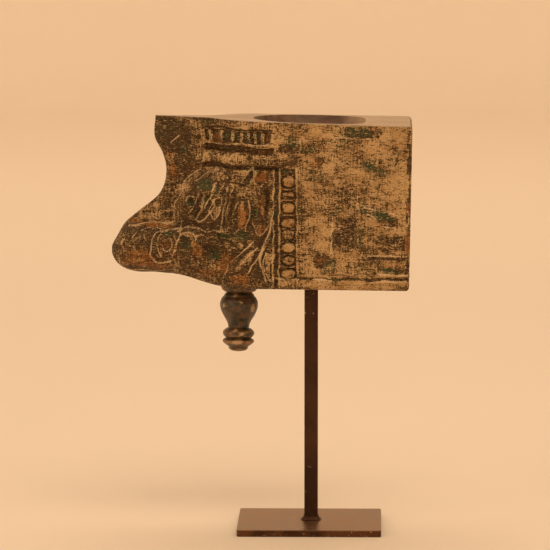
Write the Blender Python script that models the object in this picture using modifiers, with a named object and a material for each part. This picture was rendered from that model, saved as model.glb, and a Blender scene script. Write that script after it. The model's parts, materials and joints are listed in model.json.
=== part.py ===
"""Carved wooden bracket on its steel display stand.

The bracket is the end of a timber capital, carved from one block: a plain squared block with a
mortise in its top, a bell of lotus petals under dentil and gadroon bands, and an arm that thins to a
prow above and swells to a scrolled nose below. A turned drop hangs under the bell. A square steel
bar, welded upright on a flat plate, is let into the underside of the block.

Metres, +Z up. The origin is the centre of the plate's underside, the arm points to -X, and the carved
front faces -Y. Heights called "up" are measured from the flat underside of the block.
"""

import math

import bmesh
import bpy
import numpy as np
from mathutils import Matrix, Vector

NAME = "carved_bracket_on_stand"
CLEARANCE = 0.0003

# Steel stand
PLATE_WIDTH = 0.128
PLATE_DEPTH = 0.118
PLATE_THICKNESS = 0.006
PLATE_CORNER = 0.0025
PLATE_ARRIS = 0.0004
BAR_SIDE = 0.012
BAR_ARRIS = 0.0005
BAR_OFFSET = 0.0012
BAR_FREE_LENGTH = 0.213
BAR_SOCKET_DEPTH = 0.036
WELD_HEIGHT = 0.0035
WELD_REACH = 0.0032

# Block of the bracket
BLOCK_END = 0.0905
BLOCK_HEIGHT = 0.147
TOP_FALL = 0.024
SHOULDER_X = -0.045
SHOULDER_HALF_DEPTH = 0.0463
SIDE_TAPER = 0.0955
END_ROUNDING = 0.004
TOP_ROUNDING = 0.0012
UNDER_ROUNDING = 0.003
UNDER_BLEND = 0.020

# Side outline of the arm, as (how far up, x), and its underside, as (x, how far up)
ARM_OUTLINE = (
    (0.0129, -0.1638),
    (0.0167, -0.1697),
    (0.0234, -0.1750),
    (0.0310, -0.1768),
    (0.0436, -0.1712),
    (0.0560, -0.1632),
    (0.0650, -0.1525),
    (0.0785, -0.1358),
    (0.0986, -0.1279),
    (0.1175, -0.1312),
    (0.1298, -0.1375),
    (0.1503, -0.1373),
)
ARM_UNDERSIDE = (
    (-0.1638, 0.0129),
    (-0.1549, 0.0109),
    (-0.1382, 0.0105),
    (-0.1226, 0.0094),
    (-0.1170, 0.0101),
    (-0.1092, 0.0086),
    (-0.0980, 0.0053),
    (-0.0850, 0.0019),
    (-0.0740, 0.0000),
    (0.0880, 0.0000),
)

# Thickness of the arm: the prow, the nose and the belly under the bell
PROW_EDGE = 0.0012
PROW_HALF = 0.0045
PROW_FLARE = 0.18
PROW_SETBACK = 0.010
PROW_ROUNDING = 0.006
NOSE_HALF = 0.029
NOSE_ROOT_X = -0.118
NOSE_TIP_X = -0.1768
NOSE_UP = 0.0325
NOSE_HEIGHT = 0.047
BELLY_HALF = 0.030
BELLY_TOP = 0.050
BELLY_BLEND = 0.012
BELLY_OVERLAP = 0.010
BELLY_ROUNDING = 0.012

# Bell: where its foot meets the arm above and below the flare
BELL_NECK_X = -0.092
BELL_FLARE = 0.031
BELL_FLARE_TOP = 0.112
BELL_FLARE_HEIGHT = 0.030
BELL_BULGE = 1.5

# Bands round the top of the bell, as (depth below the top edge, relief)
BAND_PROFILE = (
    (0.0000, 0.0),
    (0.0078, 0.0),
    (0.0083, -0.0012),
    (0.0092, -0.0012),
    (0.0098, -0.0022),
    (0.0203, -0.0022),
    (0.0208, 0.0),
    (0.0236, 0.0),
    (0.0246, -0.0032),
    (0.0283, -0.0032),
    (0.0293, 0.0002),
    (0.0325, 0.0012),
    (0.0370, 0.0012),
    (0.0396, 0.0),
    (0.0404, -0.0020),
    (0.0424, -0.0020),
    (0.0434, 0.0),
)
BAND_LEFT_X = -0.0935
BAND_RIGHT_X = -0.0320
BAND_FADE = 0.004
DENTIL_COUNT = 7
DENTIL_ENDS = (-0.0894, -0.0319)
DENTIL_DROP = 0.0151
DENTIL_HEIGHT = 0.0108
DENTIL_WIDTH = 0.0026
GADROON_COUNT = 6
GADROON_ENDS = (-0.0957, -0.0416)
GADROON_DROP = 0.0347
GADROON_HEIGHT = 0.0094
GADROON_WIDTH = 0.0076
GADROON_PROUD = 0.0018

# Bead-and-reel column between its fillets
FILLET_XS = (-0.0319, -0.0262, -0.0110)
FILLET_WIDTH = 0.0016
FILLET_PROUD = 0.0012
FILLET_TOP_DROP = 0.040
FILLET_FOOT_UP = 0.003
BEAD_X = -0.0182
BEAD_COUNT = 8
BEAD_PITCH = 0.0117
BEAD_LOWEST_UP = 0.0137
BEAD_WIDTH = 0.0126
BEAD_HEIGHT = 0.0096
BEAD_PROUD = 0.0024

# Fleshy petals and leaves, as (x, how far up, length, width, tilt in degrees from upright)
PETALS = (
    (-0.0595, 0.0655, 0.0330, 0.0090, 3.0),
    (-0.0700, 0.0760, 0.0300, 0.0062, 19.0),
    (-0.0890, 0.0730, 0.0240, 0.0058, 22.0),
    (-0.0990, 0.0745, 0.0220, 0.0060, 28.0),
    (-0.0469, 0.0575, 0.0220, 0.0052, -4.0),
    (-0.0550, 0.0950, 0.0190, 0.0090, 18.0),
    (-0.0359, 0.0228, 0.0270, 0.0056, 5.0),
    (-0.0600, 0.0250, 0.0300, 0.0110, 40.0),
    (-0.0611, 0.0375, 0.0066, 0.0066, 0.0),
    (-0.0740, 0.0375, 0.0066, 0.0066, 0.0),
    (-0.0717, 0.0296, 0.0060, 0.0060, 0.0),
)
REAR_PETALS = 3
PETAL_PROUD = 0.0020

# Ribs between and along the petals, as (x, how far up) of both ends and how far they bow
RIBS = (
    (-0.0960, 0.0836, -0.1070, 0.0641, 0.0006),
    (-0.0861, 0.0842, -0.0924, 0.0620, 0.0004),
    (-0.0785, 0.0704, -0.0861, 0.0533, 0.0008),
    (-0.0712, 0.0918, -0.0779, 0.0716, 0.0004),
    (-0.0646, 0.0886, -0.0771, 0.0589, -0.0008),
    (-0.0604, 0.0840, -0.0682, 0.0550, -0.0014),
    (-0.0522, 0.0792, -0.0566, 0.0520, 0.0010),
    (-0.0425, 0.0720, -0.0425, 0.0475, -0.0008),
    (-0.0345, 0.0706, -0.0390, 0.0085, -0.0044),
    (-0.0337, 0.0423, -0.0416, 0.0280, 0.0006),
    (-0.0469, 0.0421, -0.0664, 0.0169, 0.0010),
    (-0.0500, 0.0300, -0.0640, 0.0090, 0.0012),
    (-0.1139, 0.0572, -0.1199, 0.0313, 0.0030),
)
REAR_RIBS = 5
RIB_WIDTH = 0.0030
RIB_PROUD = 0.0014
KEEL = 0.0035

# Curled leaves, as (x, how far up, half width, half height) of each loop
CURLS = (
    (-0.1046, 0.0740, 0.0060, 0.0072),
    (-0.0882, 0.0330, 0.0082, 0.0084),
    (-0.1055, 0.0375, 0.0062, 0.0080),
)

# Scroll on the nose
SCROLL_X = -0.1278
SCROLL_UP = 0.0364
SCROLL_RADIUS = 0.0137
SCROLL_WINDS_IN = 0.62
SCROLL_TURNS = 1.4
SCROLL_WIDTH = 0.0032
SCROLL_PROUD = 0.0015
EYE_RADIUS = 0.0042
NOSE_GROOVE_UP = 0.0550
NOSE_GROOVE_ENDS = (-0.1570, -0.1260)
NOSE_GROOVE_DEPTH = 0.0014

# Mortise in the top
MORTISE_HALF_LENGTH = 0.050
MORTISE_FRONT_WALL = 0.0060
MORTISE_DEPTH = 0.022
MORTISE_FLOOR_SHARE = 0.86
MORTISE_LEFT_SQUARENESS = 2.0
MORTISE_RIGHT_SQUARENESS = 4.0

# Turned drop under the bell, as (how far below the underside, radius) down from its let-in head
DROP_X = -0.0628
DROP_SEAT = 0.0020
DROP_HEAD_RADIUS = 0.0150
DROP_PROFILE = (
    (0.0000, 0.0150),
    (0.0012, 0.0160),
    (0.0036, 0.0163),
    (0.0062, 0.0148),
    (0.0080, 0.0124),
    (0.0098, 0.0131),
    (0.0135, 0.0157),
    (0.0185, 0.0171),
    (0.0235, 0.0163),
    (0.0292, 0.0137),
    (0.0343, 0.0107),
    (0.0388, 0.0097),
    (0.0405, 0.0105),
    (0.0418, 0.0131),
    (0.0448, 0.0140),
    (0.0478, 0.0133),
    (0.0489, 0.0120),
    (0.0500, 0.0126),
    (0.0517, 0.0139),
    (0.0537, 0.0126),
    (0.0558, 0.0092),
    (0.0580, 0.0084),
    (0.0603, 0.0054),
    (0.0612, 0.0000),
)
DROP_LEAN = 1.2

# Fineness of the solids
ARM_COLUMNS = 21
BLOCK_COLUMNS = 4
ROUND_SIDES = 18

PLATE_TOP = PLATE_THICKNESS
UNDERSIDE = PLATE_TOP + BAR_FREE_LENGTH


def clear_scene():
    for old in list(bpy.data.objects):
        bpy.data.objects.remove(old, do_unlink=True)


def new_collection(name):
    made = bpy.data.collections.new(name)
    bpy.context.scene.collection.children.link(made)
    return made


def material(name, colour, roughness, metallic=0.0):
    made = bpy.data.materials.new(name)
    made.use_nodes = True
    shader = made.node_tree.nodes["Principled BSDF"]
    shader.inputs["Base Color"].default_value = (*colour, 1.0)
    shader.inputs["Roughness"].default_value = roughness
    shader.inputs["Metallic"].default_value = metallic
    made.diffuse_color = (*colour, 1.0)
    return made


def add_object(name, mesh, collection, finish=None):
    made = bpy.data.objects.new(name, mesh)
    collection.objects.link(made)
    if finish:
        mesh.materials.clear()
        mesh.materials.append(finish)
    return made


def add_bmesh(name, shape, collection, finish=None):
    mesh = bpy.data.meshes.new(name)
    shape.to_mesh(mesh)
    shape.free()
    return add_object(name, mesh, collection, finish)


def add_cutter(name, shape, cutters):
    made = add_bmesh(name, shape, cutters)
    made.hide_render = True
    made.display_type = "WIRE"
    return made


def box_shape(size, centre):
    shape = bmesh.new()
    bmesh.ops.create_cube(shape, size=1.0)
    bmesh.ops.scale(shape, vec=size, verts=shape.verts)
    bmesh.ops.translate(shape, vec=centre, verts=shape.verts)
    return shape


def smooth_step(value):
    share = np.clip(value, 0.0, 1.0)
    return share * share * (3.0 - 2.0 * share)


def smooth_line(places, points):
    """Value at each place of a smooth curve through (place, value) points, by cubic Hermite pieces."""
    known, values = np.array(points).T
    slopes = np.gradient(values, known)
    index = np.clip(np.searchsorted(known, places) - 1, 0, len(known) - 2)
    width = known[index + 1] - known[index]
    share = np.clip((places - known[index]) / width, 0.0, 1.0)
    rise = values[index + 1] - values[index]
    ease = share * share * (3.0 - 2.0 * share)
    start = slopes[index] * width * share * (1.0 - share) ** 2
    end = slopes[index + 1] * width * share**2 * (share - 1.0)
    return values[index] + rise * ease + start + end


def top_up(x):
    return BLOCK_HEIGHT - TOP_FALL * x


def underside_up(x):
    return np.maximum(smooth_line(x, ARM_UNDERSIDE), 0.0)


def rounding(distance, radius):
    """How much a rounded arris takes off at this distance from it."""
    inside = np.clip(1.0 - distance / radius, 0.0, 1.0)
    return radius * (1.0 - np.sqrt(1.0 - inside**2))


def bell_foot(up):
    return BELL_NECK_X - BELL_FLARE * smooth_step((BELL_FLARE_TOP - up) / BELL_FLARE_HEIGHT)


def plain_half_depth(x, up):
    """Half the bracket's depth before its arrises are rounded.

    It is the fullest of prow, bell, belly and nose, and never more than the block.
    """
    block = SHOULDER_HALF_DEPTH + SIDE_TAPER * (np.maximum(x, SHOULDER_X) - SHOULDER_X)
    prow = PROW_HALF + PROW_FLARE * np.maximum(x - ARM_OUTLINE[-1][1], -PROW_SETBACK)
    foot = bell_foot(up)
    across = np.clip((SHOULDER_X - x) / (SHOULDER_X - foot), 0.0, 1.0)
    bell = block * (1.0 - across**BELL_BULGE) ** (1.0 / BELL_BULGE)
    bell *= smooth_step((up - BELLY_TOP + BELLY_BLEND) / BELLY_BLEND)
    toward_tip = np.clip((NOSE_ROOT_X - x) / (NOSE_ROOT_X - NOSE_TIP_X), 0.0, 1.0)
    off_middle = np.clip(2.0 * (up - NOSE_UP) / NOSE_HEIGHT, -1.0, 1.0)
    nose = NOSE_HALF * np.sqrt(1.0 - toward_tip**2) * np.sqrt(1.0 - off_middle**2)
    fill = smooth_step((x - NOSE_ROOT_X) / (SHOULDER_X - NOSE_ROOT_X))
    belly = BELLY_HALF + (SHOULDER_HALF_DEPTH - BELLY_HALF) * fill
    belly *= smooth_step((x - NOSE_ROOT_X + BELLY_OVERLAP) / BELLY_BLEND)
    belly *= 1.0 - smooth_step((up - BELLY_TOP) / BELLY_OVERLAP)
    fullest = (prow**6 + bell**6 + nose**6 + belly**6) ** (1.0 / 6.0)
    return np.where(x < SHOULDER_X, np.minimum(fullest, block), block)


def band_relief(x, up):
    depths, reliefs = np.array(BAND_PROFILE).T
    relief = np.interp(top_up(x) - up, depths, reliefs)
    left = smooth_step((x - BAND_LEFT_X + BAND_FADE) / BAND_FADE)
    right = smooth_step((BAND_RIGHT_X + BAND_FADE - x) / BAND_FADE)
    return relief * left * right


def half_depth(x, up):
    """Half the bracket's depth, with its bands and rounded arrises, inside its side outline."""
    depth = plain_half_depth(x, up) + band_relief(x, up)
    above = np.maximum(up - underside_up(x), 0.0)
    under = UNDER_ROUNDING + (BELLY_ROUNDING - UNDER_ROUNDING) * smooth_step((SHOULDER_X - x) / UNDER_BLEND)
    depth -= rounding(above, np.minimum(under, 0.7 * depth))
    depth -= rounding(np.maximum(top_up(x) - up, 0.0), TOP_ROUNDING)
    depth -= rounding(np.maximum(BLOCK_END - x, 0.0), END_ROUNDING)
    from_edge = np.maximum(x - smooth_line(up, ARM_OUTLINE), 0.0)
    swell = np.sqrt(1.0 - np.clip(1.0 - from_edge / PROW_ROUNDING, 0.0, 1.0) ** 2)
    return PROW_EDGE + (np.maximum(depth, PROW_EDGE) - PROW_EDGE) * swell


def level_shares():
    """Levels of the carved faces, from 0 at the underside to 1 at the top, with one at each band edge."""
    height = top_up(BAND_LEFT_X)
    bands = [1.0 - depth / height for depth, relief in BAND_PROFILE]
    arris = [1.0 - TOP_ROUNDING * share / height for share in (0.3, 1.0)]
    below = np.linspace(0.11, bands[-1], 11)[:-1]
    under = [0.0, 0.006, 0.02, 0.045, 0.075]
    return np.array(sorted([*under, *below, *bands, *arris]))


def column_shares():
    """Places along the faces, from 0 at the arm's edge to 1 at the block's end."""
    arm_share = (FILLET_XS[0] - ARM_OUTLINE[0][1]) / (BLOCK_END - ARM_OUTLINE[0][1])
    edge = [0.0, 0.003, 0.010]
    arm = np.linspace(0.024, arm_share, ARM_COLUMNS)
    rounded_end = [1.0 - 0.3 * END_ROUNDING / BLOCK_END, 1.0 - END_ROUNDING / BLOCK_END]
    block = np.linspace(arm_share, min(rounded_end), BLOCK_COLUMNS + 1)[1:-1]
    return np.array(sorted([*edge, *arm, *block, *rounded_end, 1.0]))


def bracket_shape():
    """Two carved faces on one side outline, mirrored about y = 0 and joined round the edge.

    A point at share s along and t up lies at x = (1 - s) outline(t) + s end and
    up = (1 - t) underside(s) + t top(s), and stands half_depth(x, up) off the middle plane.
    """
    along, level = np.meshgrid(column_shares(), level_shares())
    lowest, highest = ARM_OUTLINE[0][0], ARM_OUTLINE[-1][0]
    edge_x = smooth_line(lowest + (highest - lowest) * level, ARM_OUTLINE)
    x = (1.0 - along) * edge_x + along * BLOCK_END
    under_x = (1.0 - along) * ARM_OUTLINE[0][1] + along * BLOCK_END
    over_x = (1.0 - along) * ARM_OUTLINE[-1][1] + along * BLOCK_END
    up = (1.0 - level) * underside_up(under_x) + level * top_up(over_x)
    y = half_depth(x, up)
    rows, columns = x.shape
    shape = bmesh.new()
    faces = {}
    for side in (-1, 1):
        for row in range(rows):
            for column in range(columns):
                point = (x[row, column], side * y[row, column], UNDERSIDE + up[row, column])
                faces[side, row, column] = shape.verts.new(point)
    for row in range(rows - 1):
        for column in range(columns - 1):
            ring = [(row, column), (row, column + 1), (row + 1, column + 1), (row + 1, column)]
            shape.faces.new([faces[-1, r, c] for r, c in ring])
            shape.faces.new([faces[1, r, c] for r, c in reversed(ring)])
    border = [(0, column) for column in range(columns)]
    border += [(row, columns - 1) for row in range(1, rows)]
    border += [(rows - 1, column) for column in range(columns - 2, -1, -1)]
    border += [(row, 0) for row in range(rows - 2, 0, -1)]
    for here, there in zip(border, border[1:] + border[:1]):
        shape.faces.new([faces[1, *here], faces[1, *there], faces[-1, *there], faces[-1, *here]])
    bmesh.ops.recalc_face_normals(shape, faces=shape.faces)
    return shape


def face_frame(x, up, side):
    """The frame of a point on a carved face: x runs along the face, y out of it and z up."""
    step = 0.0015
    ahead, here, behind = (float(plain_half_depth(x + shift, up)) for shift in (step, 0.0, -step))
    depth = here + float(band_relief(x, up))
    along = Vector((2.0 * step, side * (ahead - behind), 0.0)).normalized()
    upward = Vector((0.0, 0.0, 1.0))
    outward = along.cross(upward) * -side
    turn = Matrix((along, outward, upward)).transposed().to_4x4()
    return Matrix.Translation((x, side * depth, UNDERSIDE + up)) @ turn


def placed(shape, matrix):
    shape.transform(matrix)
    bmesh.ops.recalc_face_normals(shape, faces=shape.faces)
    return shape


def lobe_shape(x, up, side, size, tilt=0.0):
    """An egg half sunk in a carved face. Size is (width, how far it stands proud, height)."""
    width, proud, height = size
    shape = bmesh.new()
    bmesh.ops.create_uvsphere(shape, u_segments=8, v_segments=5, radius=1.0)
    lean = Matrix.Rotation(math.radians(tilt), 4, "Y")
    sink = Matrix.Translation((0.0, -proud, 0.0))
    spread = Matrix.Diagonal((width / 2.0, 2.0 * proud, height / 2.0, 1.0))
    return placed(shape, face_frame(x, up, side) @ lean @ sink @ spread)


def bar_shape(x, up, side, size):
    """A square bar let into a carved face. Size is (width, how far it stands proud, height)."""
    width, proud, height = size
    sunk = 0.004
    shape = box_shape((width, proud + sunk, height), (0.0, (proud - sunk) / 2.0, 0.0))
    return placed(shape, face_frame(x, up, side))


def ridge_shape(places, side, width, proud, looped=False):
    """A ridge along places on a carved face, or a ring through them.

    Its section is a kite: a crest that stands proud, a flank on either side and a keel sunk in the
    wood. An open ridge dies away toward its ends.
    """
    frames = [face_frame(x, up, side) for x, up in places]
    centres = [frame.translation for frame in frames]
    last = len(places) - 1
    shape = bmesh.new()
    rings = []
    for index, frame in enumerate(frames):
        ahead = centres[(index + 1) % (last + 1)] if looped else centres[min(index + 1, last)]
        behind = centres[index - 1] if looped else centres[max(index - 1, 0)]
        outward = frame.col[1].to_3d()
        across = (ahead - behind).cross(outward).normalized()
        swell = 1.0 if looped else 0.4 + 0.6 * math.sin(math.pi * index / last)
        offsets = (
            outward * proud * swell,
            across * width / 2.0 * swell,
            outward * -KEEL,
            across * -width / 2.0 * swell,
        )
        rings.append([shape.verts.new(centres[index] + offset) for offset in offsets])
    spans = list(zip(rings, rings[1:]))
    if looped:
        spans.append((rings[-1], rings[0]))
    else:
        shape.faces.new(rings[0])
        shape.faces.new(rings[-1])
    for here, there in spans:
        for corner in range(4):
            beside = (corner + 1) % 4
            shape.faces.new([here[corner], here[beside], there[beside], there[corner]])
    bmesh.ops.recalc_face_normals(shape, faces=shape.faces)
    return shape


def scroll_places():
    """A spiral on the nose that winds in from its rim to its eye."""
    count = 18
    places = []
    for step in range(count):
        share = step / (count - 1)
        angle = math.pi * (0.25 + 2.0 * SCROLL_TURNS * share)
        radius = SCROLL_RADIUS * (1.0 - SCROLL_WINDS_IN * share)
        places.append((SCROLL_X - radius * math.cos(angle), SCROLL_UP + radius * math.sin(angle)))
    return places


def rib_places(rib):
    """Places along a rib that bows to one side of the straight line between its ends."""
    x, up, end_x, end_up, bow = rib
    run = math.hypot(end_x - x, end_up - up)
    count = max(4, round(run / 0.008) + 1)
    places = []
    for step in range(count):
        share = step / (count - 1)
        off = bow * math.sin(math.pi * share) / run
        place_x = x + (end_x - x) * share - off * (end_up - up)
        places.append((place_x, up + (end_up - up) * share + off * (end_x - x)))
    return places


def curl_places(curl):
    x, up, half_width, half_height = curl
    count = 9
    turns = [2.0 * math.pi * step / count for step in range(count)]
    return [(x + half_width * math.cos(turn), up + half_height * math.sin(turn)) for turn in turns]


def nose_groove_shape(side):
    """A shallow V cut level across the nose: a long, thin bar turned onto its edge."""
    first, last = NOSE_GROOVE_ENDS
    shape = bmesh.new()
    bmesh.ops.create_cube(shape, size=NOSE_GROOVE_DEPTH * math.sqrt(2.0))
    turn = Matrix.Rotation(math.pi / 4.0, 4, "X")
    stretch = Matrix.Scale((last - first) / (NOSE_GROOVE_DEPTH * math.sqrt(2.0)), 4, (1.0, 0.0, 0.0))
    return placed(shape, face_frame((first + last) / 2.0, NOSE_GROOVE_UP, side) @ stretch @ turn)


def add_carving(carving, side):
    """The ornament that stands proud of one carved face, each piece its own operand of the union."""
    shapes = []
    for x in np.linspace(*DENTIL_ENDS, DENTIL_COUNT):
        up = top_up(x) - DENTIL_DROP
        sunk = -float(band_relief(x, up))
        shapes.append(bar_shape(x, up, side, (DENTIL_WIDTH, sunk, DENTIL_HEIGHT)))
    for x in np.linspace(*GADROON_ENDS, GADROON_COUNT):
        up = top_up(x) - GADROON_DROP
        shapes.append(lobe_shape(x, up, side, (GADROON_WIDTH, GADROON_PROUD, GADROON_HEIGHT)))
    for x in FILLET_XS:
        top = top_up(x) - FILLET_TOP_DROP
        middle = (top + FILLET_FOOT_UP) / 2.0
        shapes.append(bar_shape(x, middle, side, (FILLET_WIDTH, FILLET_PROUD, top - FILLET_FOOT_UP)))
    for index in range(BEAD_COUNT):
        up = BEAD_LOWEST_UP + index * BEAD_PITCH
        shapes.append(lobe_shape(BEAD_X, up, side, (BEAD_WIDTH, BEAD_PROUD, BEAD_HEIGHT)))
    petals = PETALS if side < 0 else PETALS[:REAR_PETALS]
    for x, up, length, width, tilt in petals:
        shapes.append(lobe_shape(x, up, side, (width, PETAL_PROUD, length), tilt))
    ribs = RIBS if side < 0 else RIBS[:REAR_RIBS]
    for rib in ribs:
        shapes.append(ridge_shape(rib_places(rib), side, RIB_WIDTH, RIB_PROUD))
    if side < 0:
        for curl in CURLS:
            shapes.append(ridge_shape(curl_places(curl), side, RIB_WIDTH, RIB_PROUD, looped=True))
    shapes.append(lobe_shape(SCROLL_X, SCROLL_UP, side, (2 * EYE_RADIUS, 0.002, 2 * EYE_RADIUS)))
    shapes.append(ridge_shape(scroll_places(), side, SCROLL_WIDTH, SCROLL_PROUD))
    for index, shape in enumerate(shapes):
        name = f"{'front' if side < 0 else 'rear'}_carving_{index + 1:02d}"
        add_cutter(name, shape, carving)


def mortise_shape():
    """A squarish bowl: a round cutter whose circle is drawn out to a superellipse."""
    front_half = SHOULDER_HALF_DEPTH - SIDE_TAPER * SHOULDER_X - MORTISE_FRONT_WALL
    over = 0.02
    shape = bmesh.new()
    bmesh.ops.create_cone(shape, cap_ends=True, segments=40, radius1=1.0, radius2=1.0, depth=1.0)
    for vert in shape.verts:
        angle = math.atan2(vert.co.y, vert.co.x)
        squareness = MORTISE_LEFT_SQUARENESS if vert.co.x < 0.0 else MORTISE_RIGHT_SQUARENESS
        power = 2.0 / squareness
        across = math.copysign(abs(math.cos(angle)) ** power, math.cos(angle))
        deep = math.copysign(abs(math.sin(angle)) ** power, math.sin(angle))
        drop = -MORTISE_DEPTH if vert.co.z < 0.0 else over
        spread = 1.0 + (1.0 - MORTISE_FLOOR_SHARE) * drop / MORTISE_DEPTH
        level = UNDERSIDE + BLOCK_HEIGHT + drop
        vert.co = (MORTISE_HALF_LENGTH * spread * across, front_half * spread * deep, level)
    return shape


def build_bracket(collection, cutters, finish):
    carving = bpy.data.collections.new("carving_to_join")
    hollows = bpy.data.collections.new("hollows_to_cut")
    for group in (carving, hollows):
        cutters.children.link(group)
    for side in (-1, 1):
        add_carving(carving, side)
    add_cutter("mortise", mortise_shape(), hollows)
    socket = BAR_SIDE + 2.0 * CLEARANCE
    socket_depth = BAR_SOCKET_DEPTH + CLEARANCE
    extra = 0.01
    centre = (BAR_OFFSET, 0.0, UNDERSIDE + (socket_depth - extra) / 2.0)
    add_cutter("bar_socket", box_shape((socket, socket, socket_depth + extra), centre), hollows)
    for side in (-1, 1):
        add_cutter(f"nose_groove_{side}", nose_groove_shape(side), hollows)
    seat_shape = bmesh.new()
    bmesh.ops.create_cone(
        seat_shape,
        cap_ends=True,
        segments=ROUND_SIDES,
        radius1=DROP_HEAD_RADIUS + CLEARANCE,
        radius2=DROP_HEAD_RADIUS + CLEARANCE,
        depth=DROP_SEAT + CLEARANCE + extra,
    )
    seat_middle = (DROP_SEAT + CLEARANCE - extra) / 2.0
    seat_shape.transform(drop_place() @ Matrix.Translation((0.0, 0.0, seat_middle)))
    add_cutter("drop_seat", seat_shape, hollows)
    bracket = add_bmesh("carved_bracket", bracket_shape(), collection, finish)
    for name, operands, operation in (("join", carving, "UNION"), ("cut", hollows, "DIFFERENCE")):
        boolean = bracket.modifiers.new(name, "BOOLEAN")
        boolean.operation = operation
        boolean.operand_type = "COLLECTION"
        boolean.collection = operands
        boolean.solver = "EXACT"
    return bracket


def drop_place():
    """Where the drop's axis meets the underside, and its slight lean."""
    lean = Matrix.Rotation(math.radians(DROP_LEAN), 4, "Y")
    return Matrix.Translation((DROP_X, 0.0, UNDERSIDE)) @ lean


def build_drop(collection, finish):
    """The profile turned about z, from the middle of its let-in head down to its tip."""
    mesh = bpy.data.meshes.new("turned_drop")
    profile = [(0.0, 0.0, DROP_SEAT), (DROP_HEAD_RADIUS, 0.0, DROP_SEAT)]
    profile += [(radius, 0.0, -down) for down, radius in DROP_PROFILE]
    edges = [(index, index + 1) for index in range(len(profile) - 1)]
    mesh.from_pydata(profile, edges, [])
    drop = add_object("turned_drop", mesh, collection, finish)
    turned = drop.modifiers.new("turned", "SCREW")
    turned.steps = turned.render_steps = ROUND_SIDES
    turned.use_merge_vertices = True
    turned.merge_threshold = 1e-6
    drop.matrix_world = drop_place()
    return drop


def build_bar(collection, finish):
    foot = PLATE_TOP + CLEARANCE
    length = UNDERSIDE + BAR_SOCKET_DEPTH - foot
    shape = box_shape((BAR_SIDE, BAR_SIDE, length), (0.0, 0.0, length / 2.0))
    bar = add_bmesh("stand_bar", shape, collection, finish)
    bar.location = (BAR_OFFSET, 0.0, foot)
    arris = bar.modifiers.new("arris", "BEVEL")
    arris.width = BAR_ARRIS
    arris.segments = 1
    return bar


def build_plate(collection, finish):
    shape = box_shape((PLATE_WIDTH, PLATE_DEPTH, PLATE_THICKNESS), (0.0, 0.0, PLATE_THICKNESS / 2.0))
    upright = [edge for edge in shape.edges if abs(edge.verts[0].co.z - edge.verts[1].co.z) > 1e-6]
    bmesh.ops.bevel(shape, geom=upright, offset=PLATE_CORNER, segments=4, affect="EDGES", profile=0.5)
    plate = add_bmesh("stand_plate", shape, collection, finish)
    arris = plate.modifiers.new("arris", "BEVEL")
    arris.width = PLATE_ARRIS
    arris.segments = 1
    arris.limit_method = "ANGLE"
    return plate


def build_weld(collection, cutters, finish):
    """A fillet of weld round the foot of the bar, lying on the plate."""
    inner = BAR_SIDE / 2.0 + CLEARANCE
    foot = PLATE_TOP + CLEARANCE
    shape = bmesh.new()
    bmesh.ops.create_cone(
        shape,
        cap_ends=True,
        segments=4,
        radius1=(inner + WELD_REACH) * math.sqrt(2.0),
        radius2=(inner + WELD_REACH * 0.2) * math.sqrt(2.0),
        depth=WELD_HEIGHT,
    )
    bmesh.ops.rotate(shape, matrix=Matrix.Rotation(math.pi / 4.0, 3, "Z"), verts=shape.verts)
    bmesh.ops.translate(shape, vec=(0.0, 0.0, WELD_HEIGHT / 2.0), verts=shape.verts)
    weld = add_bmesh("foot_weld", shape, collection, finish)
    weld.location = (BAR_OFFSET, 0.0, foot)
    hole = box_shape((2.0 * inner, 2.0 * inner, 3.0 * WELD_HEIGHT), (BAR_OFFSET, 0.0, foot))
    cut = weld.modifiers.new("bar", "BOOLEAN")
    cut.operation = "DIFFERENCE"
    cut.solver = "EXACT"
    cut.object = add_cutter("bar_through_weld", hole, cutters)
    return weld


def build():
    clear_scene()
    parts = new_collection(NAME)
    cutters = new_collection("cutters")
    cutters.hide_render = True
    wood = material("worn_painted_wood", (0.24, 0.15, 0.08), 0.62)
    turned_wood = material("dark_turned_wood", (0.07, 0.06, 0.04), 0.5)
    bar_steel = material("blackened_steel_bar", (0.045, 0.035, 0.03), 0.45, 0.7)
    plate_steel = material("blackened_steel_plate", (0.10, 0.085, 0.075), 0.4, 0.7)
    stand = bpy.data.objects.new("stand", None)
    parts.objects.link(stand)
    pieces = [
        build_bracket(parts, cutters, wood),
        build_drop(parts, turned_wood),
        build_bar(parts, bar_steel),
        build_weld(parts, cutters, bar_steel),
        build_plate(parts, plate_steel),
    ]
    for piece in pieces:
        piece.parent = stand


build()
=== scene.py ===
import json
import math

import bpy
import numpy as np
from mathutils import Matrix, Vector

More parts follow.
